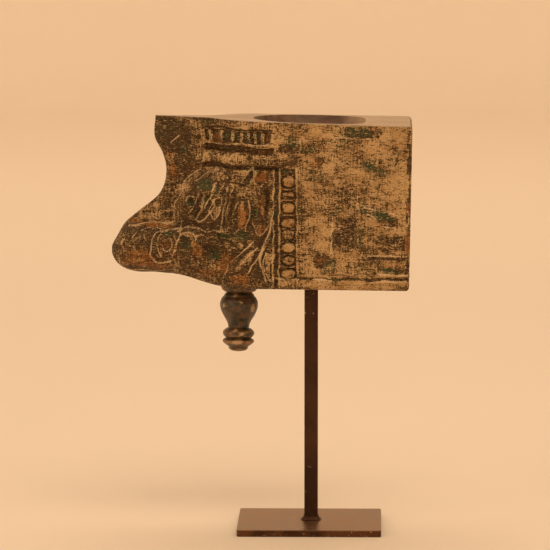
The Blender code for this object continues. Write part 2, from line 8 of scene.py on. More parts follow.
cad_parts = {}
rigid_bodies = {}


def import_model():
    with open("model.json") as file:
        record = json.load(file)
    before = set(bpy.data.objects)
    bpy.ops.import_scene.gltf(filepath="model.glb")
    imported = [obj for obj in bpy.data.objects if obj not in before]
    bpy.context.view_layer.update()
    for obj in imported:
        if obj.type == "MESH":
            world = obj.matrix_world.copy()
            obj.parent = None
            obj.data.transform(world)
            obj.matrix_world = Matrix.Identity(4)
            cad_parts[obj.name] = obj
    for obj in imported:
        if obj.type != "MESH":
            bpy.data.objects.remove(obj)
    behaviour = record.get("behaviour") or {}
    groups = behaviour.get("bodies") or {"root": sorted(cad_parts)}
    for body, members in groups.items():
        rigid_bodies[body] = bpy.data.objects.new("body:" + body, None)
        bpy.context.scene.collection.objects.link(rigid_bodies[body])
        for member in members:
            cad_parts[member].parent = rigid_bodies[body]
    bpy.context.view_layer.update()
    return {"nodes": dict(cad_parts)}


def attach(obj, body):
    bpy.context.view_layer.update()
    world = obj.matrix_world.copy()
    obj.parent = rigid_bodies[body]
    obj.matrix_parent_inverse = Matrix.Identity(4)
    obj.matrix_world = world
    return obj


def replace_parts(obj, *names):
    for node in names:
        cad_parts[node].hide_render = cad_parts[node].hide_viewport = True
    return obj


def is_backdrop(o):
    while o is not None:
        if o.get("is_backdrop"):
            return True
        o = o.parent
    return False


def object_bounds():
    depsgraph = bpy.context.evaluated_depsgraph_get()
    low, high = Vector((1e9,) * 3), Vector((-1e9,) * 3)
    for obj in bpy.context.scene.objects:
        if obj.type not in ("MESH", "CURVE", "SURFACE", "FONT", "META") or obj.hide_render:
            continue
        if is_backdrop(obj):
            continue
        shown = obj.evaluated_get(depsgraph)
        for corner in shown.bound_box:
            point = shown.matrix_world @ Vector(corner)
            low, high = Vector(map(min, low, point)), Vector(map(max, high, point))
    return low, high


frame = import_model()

# Steel plate: flat stock sawn to a rectangle, its corners eased, blackened and waxed so that it
# keeps a satin sheen. It lies flat and carries the bar, which is welded near its middle.
PLATE_TOP = 0.006
PLATE_ARRIS = 0.0002


def add_node(tree, kind, inputs=None, **settings):
    """One shader node: its settings made, each named input joined to a socket or given a value."""
    made = tree.nodes.new(kind)
    for name, value in settings.items():
        setattr(made, name, value)
    for name, value in (inputs or {}).items():
        if isinstance(value, bpy.types.NodeSocket):
            tree.links.new(value, made.inputs[name])
        else:
            made.inputs[name].default_value = value
    return made


def new_material(name):
    made = bpy.data.materials.new(name)
    made.use_nodes = True
    shader = made.node_tree.nodes["Principled BSDF"]
    return made, made.node_tree, shader


def blend_colours(tree, share, low, high):
    """Colour that runs from low to high as share goes from 0 to 1."""
    mixed = add_node(tree, "ShaderNodeMix", data_type="RGBA")
    for index, value in ((0, share), (6, low), (7, high)):
        if isinstance(value, bpy.types.NodeSocket):
            tree.links.new(value, mixed.inputs[index])
        elif index:
            mixed.inputs[index].default_value = (*value, 1.0)
        else:
            mixed.inputs[index].default_value = value
    return mixed.outputs[2]


def ramp(tree, value, low, high, to_low=0.0, to_high=1.0):
    """The value as a share of the way from low to high, eased at both ends."""
    limits = {"From Min": low, "From Max": high, "To Min": to_low, "To Max": to_high}
    sockets = {"Value": value, **limits}
    return add_node(tree, "ShaderNodeMapRange", sockets, interpolation_type="SMOOTHSTEP").outputs[0]


def arithmetic(tree, operation, *values):
    made = add_node(tree, "ShaderNodeMath", operation=operation)
    for index, value in enumerate(values):
        if isinstance(value, bpy.types.NodeSocket):
            tree.links.new(value, made.inputs[index])
        else:
            made.inputs[index].default_value = value
    return made.outputs[0]


def make_stretched_noise():
    """Group: noise whose grain is as many waves per metre along x, y and z as Waves says."""
    group = bpy.data.node_groups.new("stretched_noise", "ShaderNodeTree")
    for name, kind, value in (
        ("Waves", "NodeSocketVector", (100.0, 100.0, 100.0)),
        ("Detail", "NodeSocketFloat", 4.0),
        ("Roughness", "NodeSocketFloat", 0.6),
        ("Shift", "NodeSocketFloat", 0.0),
    ):
        socket = group.interface.new_socket(name, in_out="INPUT", socket_type=kind)
        socket.default_value = value
    group.interface.new_socket("Value", in_out="OUTPUT", socket_type="NodeSocketFloat")
    given = group.nodes.new("NodeGroupInput").outputs
    place = add_node(group, "ShaderNodeTexCoord").outputs["Object"]
    moved = add_node(group, "ShaderNodeVectorMath", operation="ADD")
    group.links.new(place, moved.inputs[0])
    group.links.new(given["Shift"], moved.inputs[1])
    scaled = add_node(group, "ShaderNodeVectorMath", operation="MULTIPLY")
    group.links.new(moved.outputs[0], scaled.inputs[0])
    group.links.new(given["Waves"], scaled.inputs[1])
    sockets = {
        "Vector": scaled.outputs[0],
        "Scale": 1.0,
        "Detail": given["Detail"],
        "Roughness": given["Roughness"],
    }
    noise = add_node(group, "ShaderNodeTexNoise", sockets)
    group.links.new(noise.outputs[0], group.nodes.new("NodeGroupOutput").inputs["Value"])
    return group


stretched_noise = make_stretched_noise()


def noise(tree, waves, detail=4.0, roughness=0.6, shift=0.0):
    made = tree.nodes.new("ShaderNodeGroup")
    made.node_tree = stretched_noise
    settings = (("Waves", waves), ("Detail", detail), ("Roughness", roughness), ("Shift", shift))
    for name, value in settings:
        made.inputs[name].default_value = value
    return made.outputs["Value"]


def weighted_sum(tree, first, *others):
    """The first value with each other one of (value, weight) added to it."""
    total = first
    for value, weight in others:
        total = arithmetic(tree, "MULTIPLY_ADD", value, weight, total)
    return total


def finish_surface(tree, shader, colour, roughness, height, distance, strength):
    """Join colour and roughness to the shader, and bumps as high as distance where height is 1."""
    sockets = {"Height": height, "Distance": distance, "Strength": strength}
    normal = add_node(tree, "ShaderNodeBump", sockets).outputs[0]
    for name, value in (("Base Color", colour), ("Roughness", roughness), ("Normal", normal)):
        tree.links.new(value, shader.inputs[name])


def blackened_steel(name, dark, light, rubbed, roughness, scratch_waves, edge_below=None):
    """Mill scale and wax: cloudy browns, fine scratches along the stock and small pale flecks.

    Below the height edge_below the sawn edges are darker and more flecked.
    """
    made, tree, shader = new_material(name)
    cloud = noise(tree, (45.0, 45.0, 30.0), 5.0, 0.6)
    scratch = noise(tree, scratch_waves, 3.0, 0.7, 3.1)
    grit = noise(tree, (900.0, 900.0, 900.0), 2.0, 0.6, 1.7)
    fleck = noise(tree, (230.0, 230.0, 230.0), 2.0, 0.5, 7.3)
    colour = blend_colours(tree, ramp(tree, cloud, 0.35, 0.68), dark, light)
    colour = blend_colours(tree, ramp(tree, scratch, 0.60, 0.74, 0.0, 0.55), colour, rubbed)
    colour = blend_colours(tree, ramp(tree, fleck, 0.720, 0.760), colour, (0.42, 0.33, 0.24))
    if edge_below:
        place = add_node(tree, "ShaderNodeTexCoord").outputs["Object"]
        height = add_node(tree, "ShaderNodeSeparateXYZ", {"Vector": place}).outputs["Z"]
        dirt = ramp(tree, cloud, 0.4, 0.6)
        sawn = blend_colours(tree, dirt, (0.045, 0.018, 0.007), (0.110, 0.046, 0.020))
        worn = ramp(tree, noise(tree, (300.0, 300.0, 420.0), 3.0, 0.6, 5.9), 0.60, 0.70)
        sawn = blend_colours(tree, worn, sawn, (0.42, 0.27, 0.15))
        on_top = ramp(tree, height, edge_below - 0.0008, edge_below)
        colour = blend_colours(tree, on_top, sawn, colour)
    shine = weighted_sum(tree, roughness - 0.08, (cloud, 0.22), (grit, 0.10))
    shader.inputs["Metallic"].default_value = 0.75
    height = weighted_sum(tree, grit, (scratch, 0.5))
    finish_surface(tree, shader, colour, shine, height, 0.00012, 0.5)
    return made


plate_finish = blackened_steel(
    "blackened_plate",
    dark=(0.160, 0.080, 0.040),
    light=(0.250, 0.130, 0.066),
    rubbed=(0.300, 0.180, 0.105),
    roughness=0.27,
    scratch_waves=(60.0, 700.0, 60.0),
    edge_below=PLATE_TOP - PLATE_ARRIS,
)
plate = frame["nodes"]["stand_plate"]
plate.data.materials.clear()
plate.data.materials.append(plate_finish)

# Square steel bar: standing on the plate and let into a socket in the underside of the block.
# Drawn stock with eased arrises, blackened darker than the plate, rubbed in thin upright lines.
bar_finish = blackened_steel(
    "blackened_bar",
    dark=(0.036, 0.015, 0.007),
    light=(0.068, 0.030, 0.014),
    rubbed=(0.180, 0.095, 0.050),
    roughness=0.42,
    scratch_waves=(620.0, 620.0, 9.0),
)
bar = frame["nodes"]["stand_bar"]
bar.data.materials.clear()
bar.data.materials.append(bar_finish)

# Weld: a lumpy fillet run round the foot of the bar by hand, bead after bead, then blackened with
# the rest. It lies on the plate and stops just short of the bar's faces.
BAR_X = 0.0012
BAR_HALF_WITH_GAP = 0.0063
WELD_BEADS = 26
WELD_FOOT = PLATE_TOP + 0.0003
WELD_REACH = 0.0031
WELD_HEIGHT = 0.0034


def object_from(name, points, faces, materials):
    mesh = bpy.data.meshes.new(name)
    mesh.from_pydata(np.asarray(points).reshape(-1, 3).tolist(), [], [list(face) for face in faces])
    mesh.update()
    made = bpy.data.objects.new(name, mesh)
    bpy.context.scene.collection.objects.link(made)
    for finish in materials:
        mesh.materials.append(finish)
    mesh.polygons.foreach_set("use_smooth", np.ones(len(mesh.polygons), bool))
    return made


def grid_faces(rows, columns, wrap_rows=False, wrap_columns=False):
    """Quads over a grid of points numbered row by row, joined end to end where it wraps."""
    r, c = np.meshgrid(
        np.arange(rows if wrap_rows else rows - 1),
        np.arange(columns if wrap_columns else columns - 1),
        indexing="ij",
    )
    below, beside = (r + 1) % rows, (c + 1) % columns
    corners = (r * columns + c, r * columns + beside, below * columns + beside, below * columns + c)
    return np.stack(corners, axis=-1).reshape(-1, 4)


def weld_bead():
    """A closed section carried round a rounded square: |x|^n + |y|^n = half^n.

    The section runs out along the plate, up a hollow quarter round and down beside the bar. Its
    reach swells and shrinks with the beads, as the sum of two sines of the way round.
    """
    around = 160
    turn = np.linspace(0.0, 2.0 * math.pi, around, endpoint=False)
    arc = np.linspace(0.0, math.pi / 2.0, 11)
    out = np.concatenate([[0.0, 0.5], 1.0 - np.sin(arc) * 0.86, [0.07, 0.0]])
    high = np.concatenate([[0.0, 0.0], 1.0 - np.cos(arc), [1.0, 1.0]])
    lump = 1.0 - 0.10 * (1.0 - np.cos(WELD_BEADS * turn)) + 0.07 * np.sin(5.0 * turn + 0.8)
    reach = WELD_REACH * np.clip(lump, 0.6, 1.0)[:, None] * out[None, :]
    height = WELD_HEIGHT * np.clip(0.5 + 0.5 * lump, 0.6, 1.0)[:, None] * high[None, :]
    half = BAR_HALF_WITH_GAP + reach
    squareness = 14.0 - 9.0 * reach / WELD_REACH
    cos, sin = np.cos(turn)[:, None], np.sin(turn)[:, None]
    radius = half / (np.abs(cos) ** squareness + np.abs(sin) ** squareness) ** (1.0 / squareness)
    points = np.stack([BAR_X + radius * cos, radius * sin, WELD_FOOT + height], axis=-1)
    faces = grid_faces(around, len(out), wrap_rows=True, wrap_columns=True)
    return object_from("foot_weld_bead", points, faces, [bar_finish])


weld = weld_bead()
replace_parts(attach(weld, "root"), "foot_weld")

# Carved bracket: one block of timber squared by axe and saw, hollowed on top for a post, its free
# end carved as a bell of petals under two bands and a scrolled nose. Old paint, rubbed through.
UNDERSIDE = 0.219
BLOCK_END = 0.0905
END_LEAN = 0.0022
BLOCK_HEIGHT = 0.147
TOP_FALL = 0.024
SHOULDER_X = -0.045
SHOULDER_HALF = 0.0463
SIDE_TAPER = 0.0955
END_ROUNDING = 0.004
TOP_ROUNDING = 0.0012
BOTTOM_ROUNDING = 0.003
ARM_ROUNDING = 0.009
CORNER_ROUNDING = 0.0028
EDGE_SWELL = 0.006
THINNEST = 0.0012
PROW_HALF = 0.0045
PROW_FLARE = 0.18
PROW_SETBACK = 0.010
BELL_NECK_X = -0.092
BELL_FLARE = 0.031
BELL_FLARE_TOP = 0.112
BELL_FLARE_HEIGHT = 0.030
BELL_BULGE = 1.5
BELL_FOOT = 0.038
BELLY_HALF = 0.030
BELLY_TOP = 0.050
BELLY_OVERLAP = 0.010
BLEND = 0.012
NOSE_ROOT_X = -0.118
NOSE_LENGTH = 0.0588
NOSE_TIP = -0.1765
NOSE_UP = 0.0325
NOSE_HEIGHT = 0.047
NOSE_HALF = 0.029
MM = 0.001

# Outline of the arm's free end as (up, x), and the underside as (x, up), in metres.
OUTLINE = (
    (0.0129, -0.1638), (0.0167, -0.1697), (0.0234, -0.1750), (0.0310, -0.1768), (0.0436, -0.1712),
    (0.0560, -0.1632), (0.0650, -0.1525), (0.0785, -0.1358), (0.0986, -0.1279), (0.1175, -0.1312),
    (0.1298, -0.1375), (0.1503, -0.1373),
)
BELOW = (
    (-0.1638, 0.0129), (-0.1549, 0.0109), (-0.1382, 0.0105), (-0.1226, 0.0094), (-0.1170, 0.0101),
    (-0.1092, 0.0086), (-0.0980, 0.0053), (-0.0850, 0.0019), (-0.0740, 0.0000), (0.0880, 0.0000),
)


def ease(value):
    share = np.clip(value, 0.0, 1.0)
    return share * share * (3.0 - 2.0 * share)


def through(places, points):
    """Value at each place of a smooth curve through (place, value) points, by Hermite cubics."""
    known, values = np.array(points).T
    slopes = np.gradient(values, known)
    index = np.clip(np.searchsorted(known, places) - 1, 0, len(known) - 2)
    width = known[index + 1] - known[index]
    share = np.clip((places - known[index]) / width, 0.0, 1.0)
    start = slopes[index] * width * share * (1.0 - share) ** 2
    end = slopes[index + 1] * width * share**2 * (share - 1.0)
    return values[index] + (values[index + 1] - values[index]) * ease(share) + start + end


def top_line(x):
    return BLOCK_HEIGHT - TOP_FALL * x


def under_line(x):
    return np.maximum(through(x, BELOW), 0.0)


def arris(distance, radius):
    """How much a rounded arris takes off at this distance from it."""
    inside = np.clip(1.0 - distance / radius, 0.0, 1.0)
    return radius * (1.0 - np.sqrt(1.0 - inside**2))


def closeness(distance, reach):
    """1 where the distance is 0, falling evenly to 0 at reach."""
    return np.clip(1.0 - np.abs(distance) / reach, 0.0, 1.0)


def roundness(distance, reach):
    """1 where the distance is 0, falling as a parabola to 0 at reach."""
    return np.clip(1.0 - (distance / reach) ** 2, 0.0, 1.0)


def stripe(value, low, high, fade):
    """1 between low and high, eased to 0 within fade inside either end."""
    return ease((value - low) / fade) * ease((high - value) / fade)


def blank_depth(x, up):
    """Half the depth of the block as roughed out: the fullest of prow, bell, belly and nose."""
    block = SHOULDER_HALF + SIDE_TAPER * (np.maximum(x, SHOULDER_X) - SHOULDER_X)
    prow = PROW_HALF + PROW_FLARE * np.maximum(x - OUTLINE[-1][1], -PROW_SETBACK)
    foot = BELL_NECK_X - BELL_FLARE * ease((BELL_FLARE_TOP - up) / BELL_FLARE_HEIGHT)
    across = np.clip((SHOULDER_X - x) / (SHOULDER_X - foot), 0.0, 1.0)
    bell = block * (1.0 - across**BELL_BULGE) ** (1.0 / BELL_BULGE)
    bell *= ease((up - BELL_FOOT) / BLEND)
    toward_tip = np.clip((NOSE_ROOT_X - x) / NOSE_LENGTH, 0.0, 1.0)
    off_middle = np.clip(2.0 * (up - NOSE_UP) / NOSE_HEIGHT, -1.0, 1.0)
    nose = NOSE_HALF * np.sqrt(1.0 - toward_tip**2) * np.sqrt(1.0 - off_middle**2)
    fill = ease((x - NOSE_ROOT_X) / (SHOULDER_X - NOSE_ROOT_X))
    belly = BELLY_HALF + (SHOULDER_HALF - BELLY_HALF) * fill
    belly *= ease((x - NOSE_ROOT_X + BELLY_OVERLAP) / BLEND)
    belly *= 1.0 - ease((up - BELLY_TOP) / BELLY_OVERLAP)
    fullest = (prow**6 + bell**6 + nose**6 + belly**6) ** (1.0 / 6.0)
    depth = np.where(x < SHOULDER_X, np.minimum(fullest, block), block)
    above = np.maximum(up - under_line(x), 0.0)
    under = BOTTOM_ROUNDING + ARM_ROUNDING * ease((SHOULDER_X - x) / 0.020)
    depth = depth - arris(above, np.minimum(under, 0.7 * depth))
    depth -= arris(np.maximum(top_line(x) - up, 0.0), TOP_ROUNDING)
    block_end = BLOCK_END - END_LEAN * np.clip(1.0 - up / top_line(x), 0.0, 1.0)
    depth -= arris(np.maximum(block_end - x, 0.0), END_ROUNDING)
    from_edge = np.maximum(x - through(up, OUTLINE), 0.0)
    swell = np.sqrt(1.0 - closeness(from_edge, EDGE_SWELL) ** 2)
    return THINNEST + (np.maximum(depth, THINNEST) - THINNEST) * swell


FINE_TO_X = -0.030
ARM_COLUMNS = 201
BLOCK_COLUMNS = 100
FACE_ROWS = 201


def face_grid():
    """Places on a carved face: x = (1 - s) outline(t) + s end, up = (1 - t) underside + t top.

    Columns stand closer over the arm than over the plain block, and close up at the end's arris.
    """
    arm_share = (FINE_TO_X - OUTLINE[0][1]) / (BLOCK_END - OUTLINE[0][1])
    arm = np.linspace(0.0, 1.0, ARM_COLUMNS) ** 1.04 * arm_share
    end_share = 1.0 - END_ROUNDING / BLOCK_END
    block = np.linspace(arm_share, end_share, BLOCK_COLUMNS + 1)[1:]
    rounded = 1.0 - (1.0 - end_share) * np.array([0.75, 0.5, 0.3, 0.15, 0.05, 0.0])
    along = np.concatenate([arm, block, rounded])
    level = np.concatenate([np.linspace(0.0, 0.991, FACE_ROWS), [0.9935, 0.9955, 0.9975, 1.0]])
    s, t = np.meshgrid(along, level)
    edge_x = through(OUTLINE[0][0] + (OUTLINE[-1][0] - OUTLINE[0][0]) * t, OUTLINE)
    x = (1.0 - s) * edge_x + s * (BLOCK_END - END_LEAN * (1.0 - t))
    under_x = (1.0 - s) * OUTLINE[0][1] + s * BLOCK_END
    over_x = (1.0 - s) * OUTLINE[-1][1] + s * BLOCK_END
    bottom = under_line(under_x) + arris(BLOCK_END - under_x, END_ROUNDING)
    top = top_line(over_x) - arris(BLOCK_END - over_x, CORNER_ROUNDING)
    return x, (1.0 - t) * bottom + t * top


def stroke(x, up, places):
    """Distance of every point from a line through places in mm, and how far along it lies."""
    line = np.array(places) * MM
    if len(line) > 2:
        known = np.concatenate([[0.0], np.cumsum(np.hypot(*np.diff(line, axis=0).T))])
        finer = np.linspace(0.0, known[-1], 4 * len(line))
        curves = [through(finer, np.stack([known, line[:, axis]], axis=1)) for axis in (0, 1)]
        line = np.stack(curves, axis=1)
    lengths = np.hypot(*np.diff(line, axis=0).T)
    start = np.concatenate([[0.0], np.cumsum(lengths)])
    nearest, along = np.full(x.shape, 1.0), np.zeros(x.shape)
    for index, length in enumerate(lengths):
        (x0, up0), (x1, up1) = line[index], line[index + 1]
        share = ((x - x0) * (x1 - x0) + (up - up0) * (up1 - up0)) / length**2
        share = np.clip(share, 0.0, 1.0)
        apart = np.hypot(x - x0 - share * (x1 - x0), up - up0 - share * (up1 - up0))
        closer = apart < nearest
        nearest = np.where(closer, apart, nearest)
        along = np.where(closer, (start[index] + share * length) / start[-1], along)
    return nearest, along


LINE_HEIGHT = 0.0013
LINE_CREST_REACH = 0.0022


def line_relief(x, up, places, half_width, height):
    """A ridge, or a cut where height is below 0, that dies away at its ends, and its crest."""
    apart, along = stroke(x, up, places)
    swell = np.sqrt(np.clip(np.sin(math.pi * np.clip(along, 0.02, 0.98)) * 1.6, 0.0, 1.0))
    section = roundness(apart, half_width * MM) ** 1.5
    return height * LINE_HEIGHT * section * swell, closeness(apart, LINE_CREST_REACH)


def oval(x, up, place, half_width, half_height, tilt=0.0, power=2.0):
    """How deep inside an oval each point lies, 1 at its centre and 0 from its rim outwards."""
    turn = math.radians(tilt)
    across, rise = x - place[0] * MM, up - place[1] * MM
    u = (across * math.cos(turn) - rise * math.sin(turn)) / (half_width * MM)
    v = (across * math.sin(turn) + rise * math.cos(turn)) / (half_height * MM)
    return np.clip(1.0 - np.abs(u) ** power - np.abs(v) ** power, 0.0, 1.0)


# Profile of the bands as (depth below the top edge, relief), in metres.
BANDS = (
    (0.0000, 0.0), (0.0062, 0.0), (0.0069, -0.0011), (0.0079, -0.0012), (0.0085, -0.0001),
    (0.0092, -0.0001), (0.0098, -0.0022), (0.0194, -0.0022), (0.0201, 0.0), (0.0226, 0.0002),
    (0.0238, -0.0030), (0.0272, -0.0034), (0.0288, -0.0002), (0.0310, 0.0012), (0.0345, 0.0016),
    (0.0378, 0.0010), (0.0394, -0.0006), (0.0402, -0.0022), (0.0414, -0.0024), (0.0428, -0.0004),
    (0.0450, 0.0),
)
# Everything carved below this is placed in mm: x from the stand's middle, up from the underside.
# Upright bars and tongues by their x; lines as (points, half width, height); ovals as (centre, half
# width, half height, tilt in degrees, height); beads as (up, size); reels by their up.
DENTILS = (-88.6, -78.5, -68.8, -60.5, -53.5, -47.6, -41.3, -33.0)
TONGUES = (-95.0, -89.6, -84.0, -79.0, -74.2, -69.2, -64.0, -58.8, -53.4, -48.0, -42.7, -37.4)
RIDGES = (
    (((-51.0, 107.2), (-53.4, 104.2), (-56.4, 100.2), (-60.6, 94.0)), 0.9, 1.0),
    (((-49.6, 107.3), (-49.0, 104.2), (-48.4, 94.3)), 0.8, 0.9),
    (((-71.2, 89.2), (-74.0, 78.1), (-76.8, 65.8), (-77.9, 54.7)), 0.9, 1.1),
    (((-66.2, 89.4), (-68.4, 82.7), (-71.8, 72.6), (-74.6, 64.8)), 0.8, 0.9),
    (((-61.7, 76.3), (-65.1, 71.8), (-67.3, 62.9), (-67.3, 57.3)), 0.9, 1.0),
    (((-53.6, 78.5), (-52.3, 68.8), (-54.5, 58.8), (-56.2, 51.2)), 1.0, 1.3),
    (((-77.9, 54.7), (-75.5, 49.8), (-68.3, 49.0), (-61.7, 53.2)), 0.9, 0.8),
    (((-50.7, 62.2), (-47.9, 54.5), (-44.6, 47.4)), 0.9, 1.0),
    (((-35.2, 59.1), (-38.5, 52.4), (-42.9, 46.8)), 0.9, 0.9),
    (
        ((-33.0, 62.0), (-36.3, 46.9), (-40.7, 36.9), (-43.5, 28.0), (-41.8, 18.0), (-38.5, 7.0)),
        1.7, 1.5,
    ),
    (((-35.2, 43.6), (-40.7, 33.6), (-44.0, 24.6)), 0.9, 0.8),
    (((-38.0, 32.5), (-40.2, 23.6), (-38.0, 12.5), (-34.1, 7.0)), 0.9, 1.0),
    (((-34.1, 32.5), (-31.9, 21.5), (-33.0, 7.0)), 0.8, 0.7),
    (((-105.6, 70.7), (-109.6, 73.7), (-110.1, 78.1), (-106.7, 80.2), (-102.1, 79.8)), 0.9, 1.1),
    (((-96.7, 82.4), (-101.0, 74.4), (-106.7, 65.0)), 1.1, 1.3),
    (((-94.2, 79.3), (-92.5, 74.9), (-96.5, 66.9), (-102.2, 59.8), (-107.9, 60.5)), 0.8, 0.9),
    (((-86.9, 83.0), (-89.7, 75.1), (-93.1, 68.8)), 1.0, 1.2),
    (((-86.3, 78.6), (-84.1, 72.1), (-89.7, 62.9), (-97.1, 58.5), (-102.2, 59.8)), 0.8, 0.9),
    (((-84.1, 79.8), (-86.3, 72.0), (-88.0, 65.2), (-84.1, 59.9)), 0.9, 1.0),
    (((-77.9, 80.1), (-79.0, 71.2), (-80.7, 64.5), (-84.1, 59.9)), 0.9, 1.0),
    (((-81.8, 83.3), (-77.9, 88.9), (-75.1, 91.2)), 0.8, 0.7),
    (((-113.6, 57.1), (-113.2, 52.3), (-114.1, 47.2), (-116.5, 39.6), (-118.0, 31.7)), 0.9, 1.2),
    (
        ((-126.8, 49.8), (-133.9, 48.3), (-138.2, 43.1), (-140.3, 35.5), (-140.4, 28.8),
         (-137.7, 24.3), (-131.0, 21.4), (-123.2, 22.7)),
        0.9, 1.3,
    ),
    (((-131.1, 48.3), (-134.3, 42.1), (-134.8, 33.4), (-132.0, 26.7)), 0.7, 0.7),
    (((-121.0, 46.4), (-117.4, 41.7), (-118.0, 33.9), (-122.0, 26.8)), 0.9, 0.9),
    (
        ((-129.5, 42.0), (-124.0, 43.5), (-121.5, 38.0), (-124.0, 32.0), (-129.0, 31.5),
         (-130.6, 36.0)),
        0.9, 0.8,
    ),
    (((-151.4, 49.9), (-155.2, 46.8), (-157.9, 42.5)), 0.9, 0.9),
    (((-145.7, 48.6), (-146.6, 43.9), (-144.3, 39.7)), 0.9, 0.9),
    (((-164.7, 41.0), (-167.0, 35.4), (-164.7, 30.0)), 0.9, 0.7),
    (((-160.1, 35.8), (-155.5, 33.9), (-153.3, 29.5)), 0.9, 0.8),
    (((-113.0, 47.2), (-107.4, 48.4), (-101.9, 46.9), (-100.7, 39.8)), 0.9, 1.0),
    (((-100.7, 45.2), (-95.7, 47.7), (-90.7, 45.0), (-90.1, 39.0)), 0.9, 1.0),
    (((-90.7, 43.3), (-85.1, 45.8), (-80.1, 42.6), (-78.4, 37.2)), 0.9, 1.0),
    (((-49.5, 42.4), (-58.4, 33.4), (-68.4, 24.2), (-75.1, 12.8)), 1.0, 0.9),
    (((-46.2, 36.8), (-55.1, 27.9), (-62.9, 17.7)), 1.0, 0.8),
    (((-44.0, 29.1), (-50.7, 21.3), (-54.0, 13.4)), 1.0, 0.7),
    (
        ((-116.3, 49.3), (-107.6, 52.4), (-96.4, 52.3), (-89.5, 50.2), (-83.0, 52.0),
         (-78.0, 50.0)),
        0.9, 0.7,
    ),
    (((-161.2, 54.0), (-150.5, 53.8), (-137.3, 54.9), (-121.7, 56.3)), 1.1, 0.7),
    (((-150.2, 49.5), (-136.9, 51.0), (-126.9, 51.1), (-113.6, 51.4)), 0.8, 0.8),
    (((-169.4, 23.9), (-165.2, 15.8), (-155.3, 12.6), (-135.1, 13.0), (-116.6, 14.2)), 1.0, 0.5),
)
CUTS = (
    (((-78.5, 95.3), (-69.5, 94.2), (-60.6, 92.7), (-54.0, 90.7)), 0.8, -0.9),
    (((-70.2, 99.5), (-70.1, 96.3)), 1.5, -1.5),
    (((-38.0, 91.0), (-36.3, 83.4), (-36.9, 73.5), (-38.3, 64.7)), 2.4, -2.4),
    (((-41.8, 88.9), (-41.6, 81.1), (-43.5, 72.3), (-45.1, 61.2)), 1.2, -0.8),
    (((-153.1, 51.6), (-142.5, 52.4), (-131.5, 53.3), (-119.1, 53.9)), 1.0, -1.5),
    (((-123.8, 126.6), (-119.3, 130.6), (-116.5, 133.4)), 0.7, -0.4),
    (((-96.5, 104.3), (-106.0, 97.4), (-112.6, 90.7), (-117.1, 79.6)), 0.9, -0.5),
    (((-90.1, 102.7), (-101.2, 93.7), (-106.0, 86.0)), 0.9, -0.5),
    (((-82.2, 106.3), (-86.6, 101.0), (-93.0, 91.0)), 0.9, -0.5),
    (((-74.0, 104.0), (-79.0, 96.0), (-83.0, 87.0)), 0.9, -0.5),
    (((-68.6, 88.0), (-71.5, 77.0), (-74.6, 66.0), (-76.0, 56.0)), 1.0, -0.9),
    (((-63.8, 86.0), (-65.8, 79.0), (-69.4, 70.0), (-71.0, 58.0)), 1.0, -0.8),
    (((-86.0, 50.0), (-80.0, 47.5), (-72.0, 46.0), (-62.0, 47.0), (-52.0, 45.0)), 1.6, -1.2),
)
PETALS = (
    ((-59.2, 65.0), 4.2, 13.5, 3.0, 1.6), ((-44.4, 55.5), 3.0, 9.0, -3.0, 1.3),
    ((-36.1, 20.0), 2.8, 12.5, 0.0, 1.2), ((-71.5, 75.0), 2.6, 14.0, 14.0, 1.0),
    ((-104.5, 66.0), 3.6, 7.0, 28.0, 1.0), ((-96.8, 69.0), 2.8, 8.0, 28.0, 1.0),
    ((-82.4, 69.0), 2.6, 8.0, 14.0, 0.9), ((-60.2, 38.3), 2.6, 2.6, 45.0, 1.6),
    ((-72.8, 38.5), 2.8, 2.4, 0.0, 1.6), ((-70.6, 29.7), 2.2, 3.0, 10.0, 1.5),
    ((-66.0, 42.0), 2.0, 1.6, 0.0, 1.0), ((-101.4, 35.4), 1.9, 5.0, 8.0, 1.4),
    ((-95.6, 30.4), 2.2, 4.0, 20.0, 1.3), ((-150.0, 22.0), 9.0, 4.5, 5.0, 0.9),
    ((-163.0, 22.0), 4.0, 5.0, 20.0, 0.8), ((-57.0, 24.5), 4.0, 13.0, 42.0, 1.2),
    ((-85.0, 18.0), 7.0, 4.0, -10.0, 0.8), ((-66.0, 8.5), 6.0, 3.0, 10.0, 0.8),
)
PITS = (
    ((-109.6, 40.2), 4.6, 5.0, 0.0, 2.2), ((-90.0, 34.0), 3.8, 4.4, 0.0, 1.8),
    ((-83.4, 32.0), 3.4, 5.6, 0.0, 2.2), ((-54.0, 98.0), 3.0, 6.0, 24.0, 1.8),
    ((-42.8, 98.6), 4.0, 6.2, 0.0, 1.7), ((-50.2, 67.0), 2.2, 6.0, 0.0, 1.8),
    ((-105.6, 76.0), 2.6, 3.4, 10.0, 1.4), ((-90.2, 79.0), 2.0, 4.4, 20.0, 1.5),
    ((-82.3, 75.5), 2.2, 3.6, 10.0, 1.4), ((-99.0, 66.5), 1.6, 5.0, 28.0, 1.2),
    ((-126.0, 37.0), 3.2, 3.4, 0.0, 1.2), ((-66.0, 33.0), 3.4, 2.4, 0.0, 1.2),
    ((-77.0, 28.0), 3.0, 4.0, 0.0, 1.3), ((-61.0, 30.0), 2.2, 2.2, 0.0, 1.0),
)
BEADS = (
    (95.8, 1.0), (84.8, 0.45), (72.6, 1.15), (59.3, 0.95),
    (48.5, 0.95), (37.4, 1.0), (26.0, 0.85), (13.9, 0.9),
)
REELS = (100.9, 89.6, 79.6, 66.2, 54.0, 42.9, 31.6, 20.0)
FILLETS = (-31.5, -26.4, -10.8)


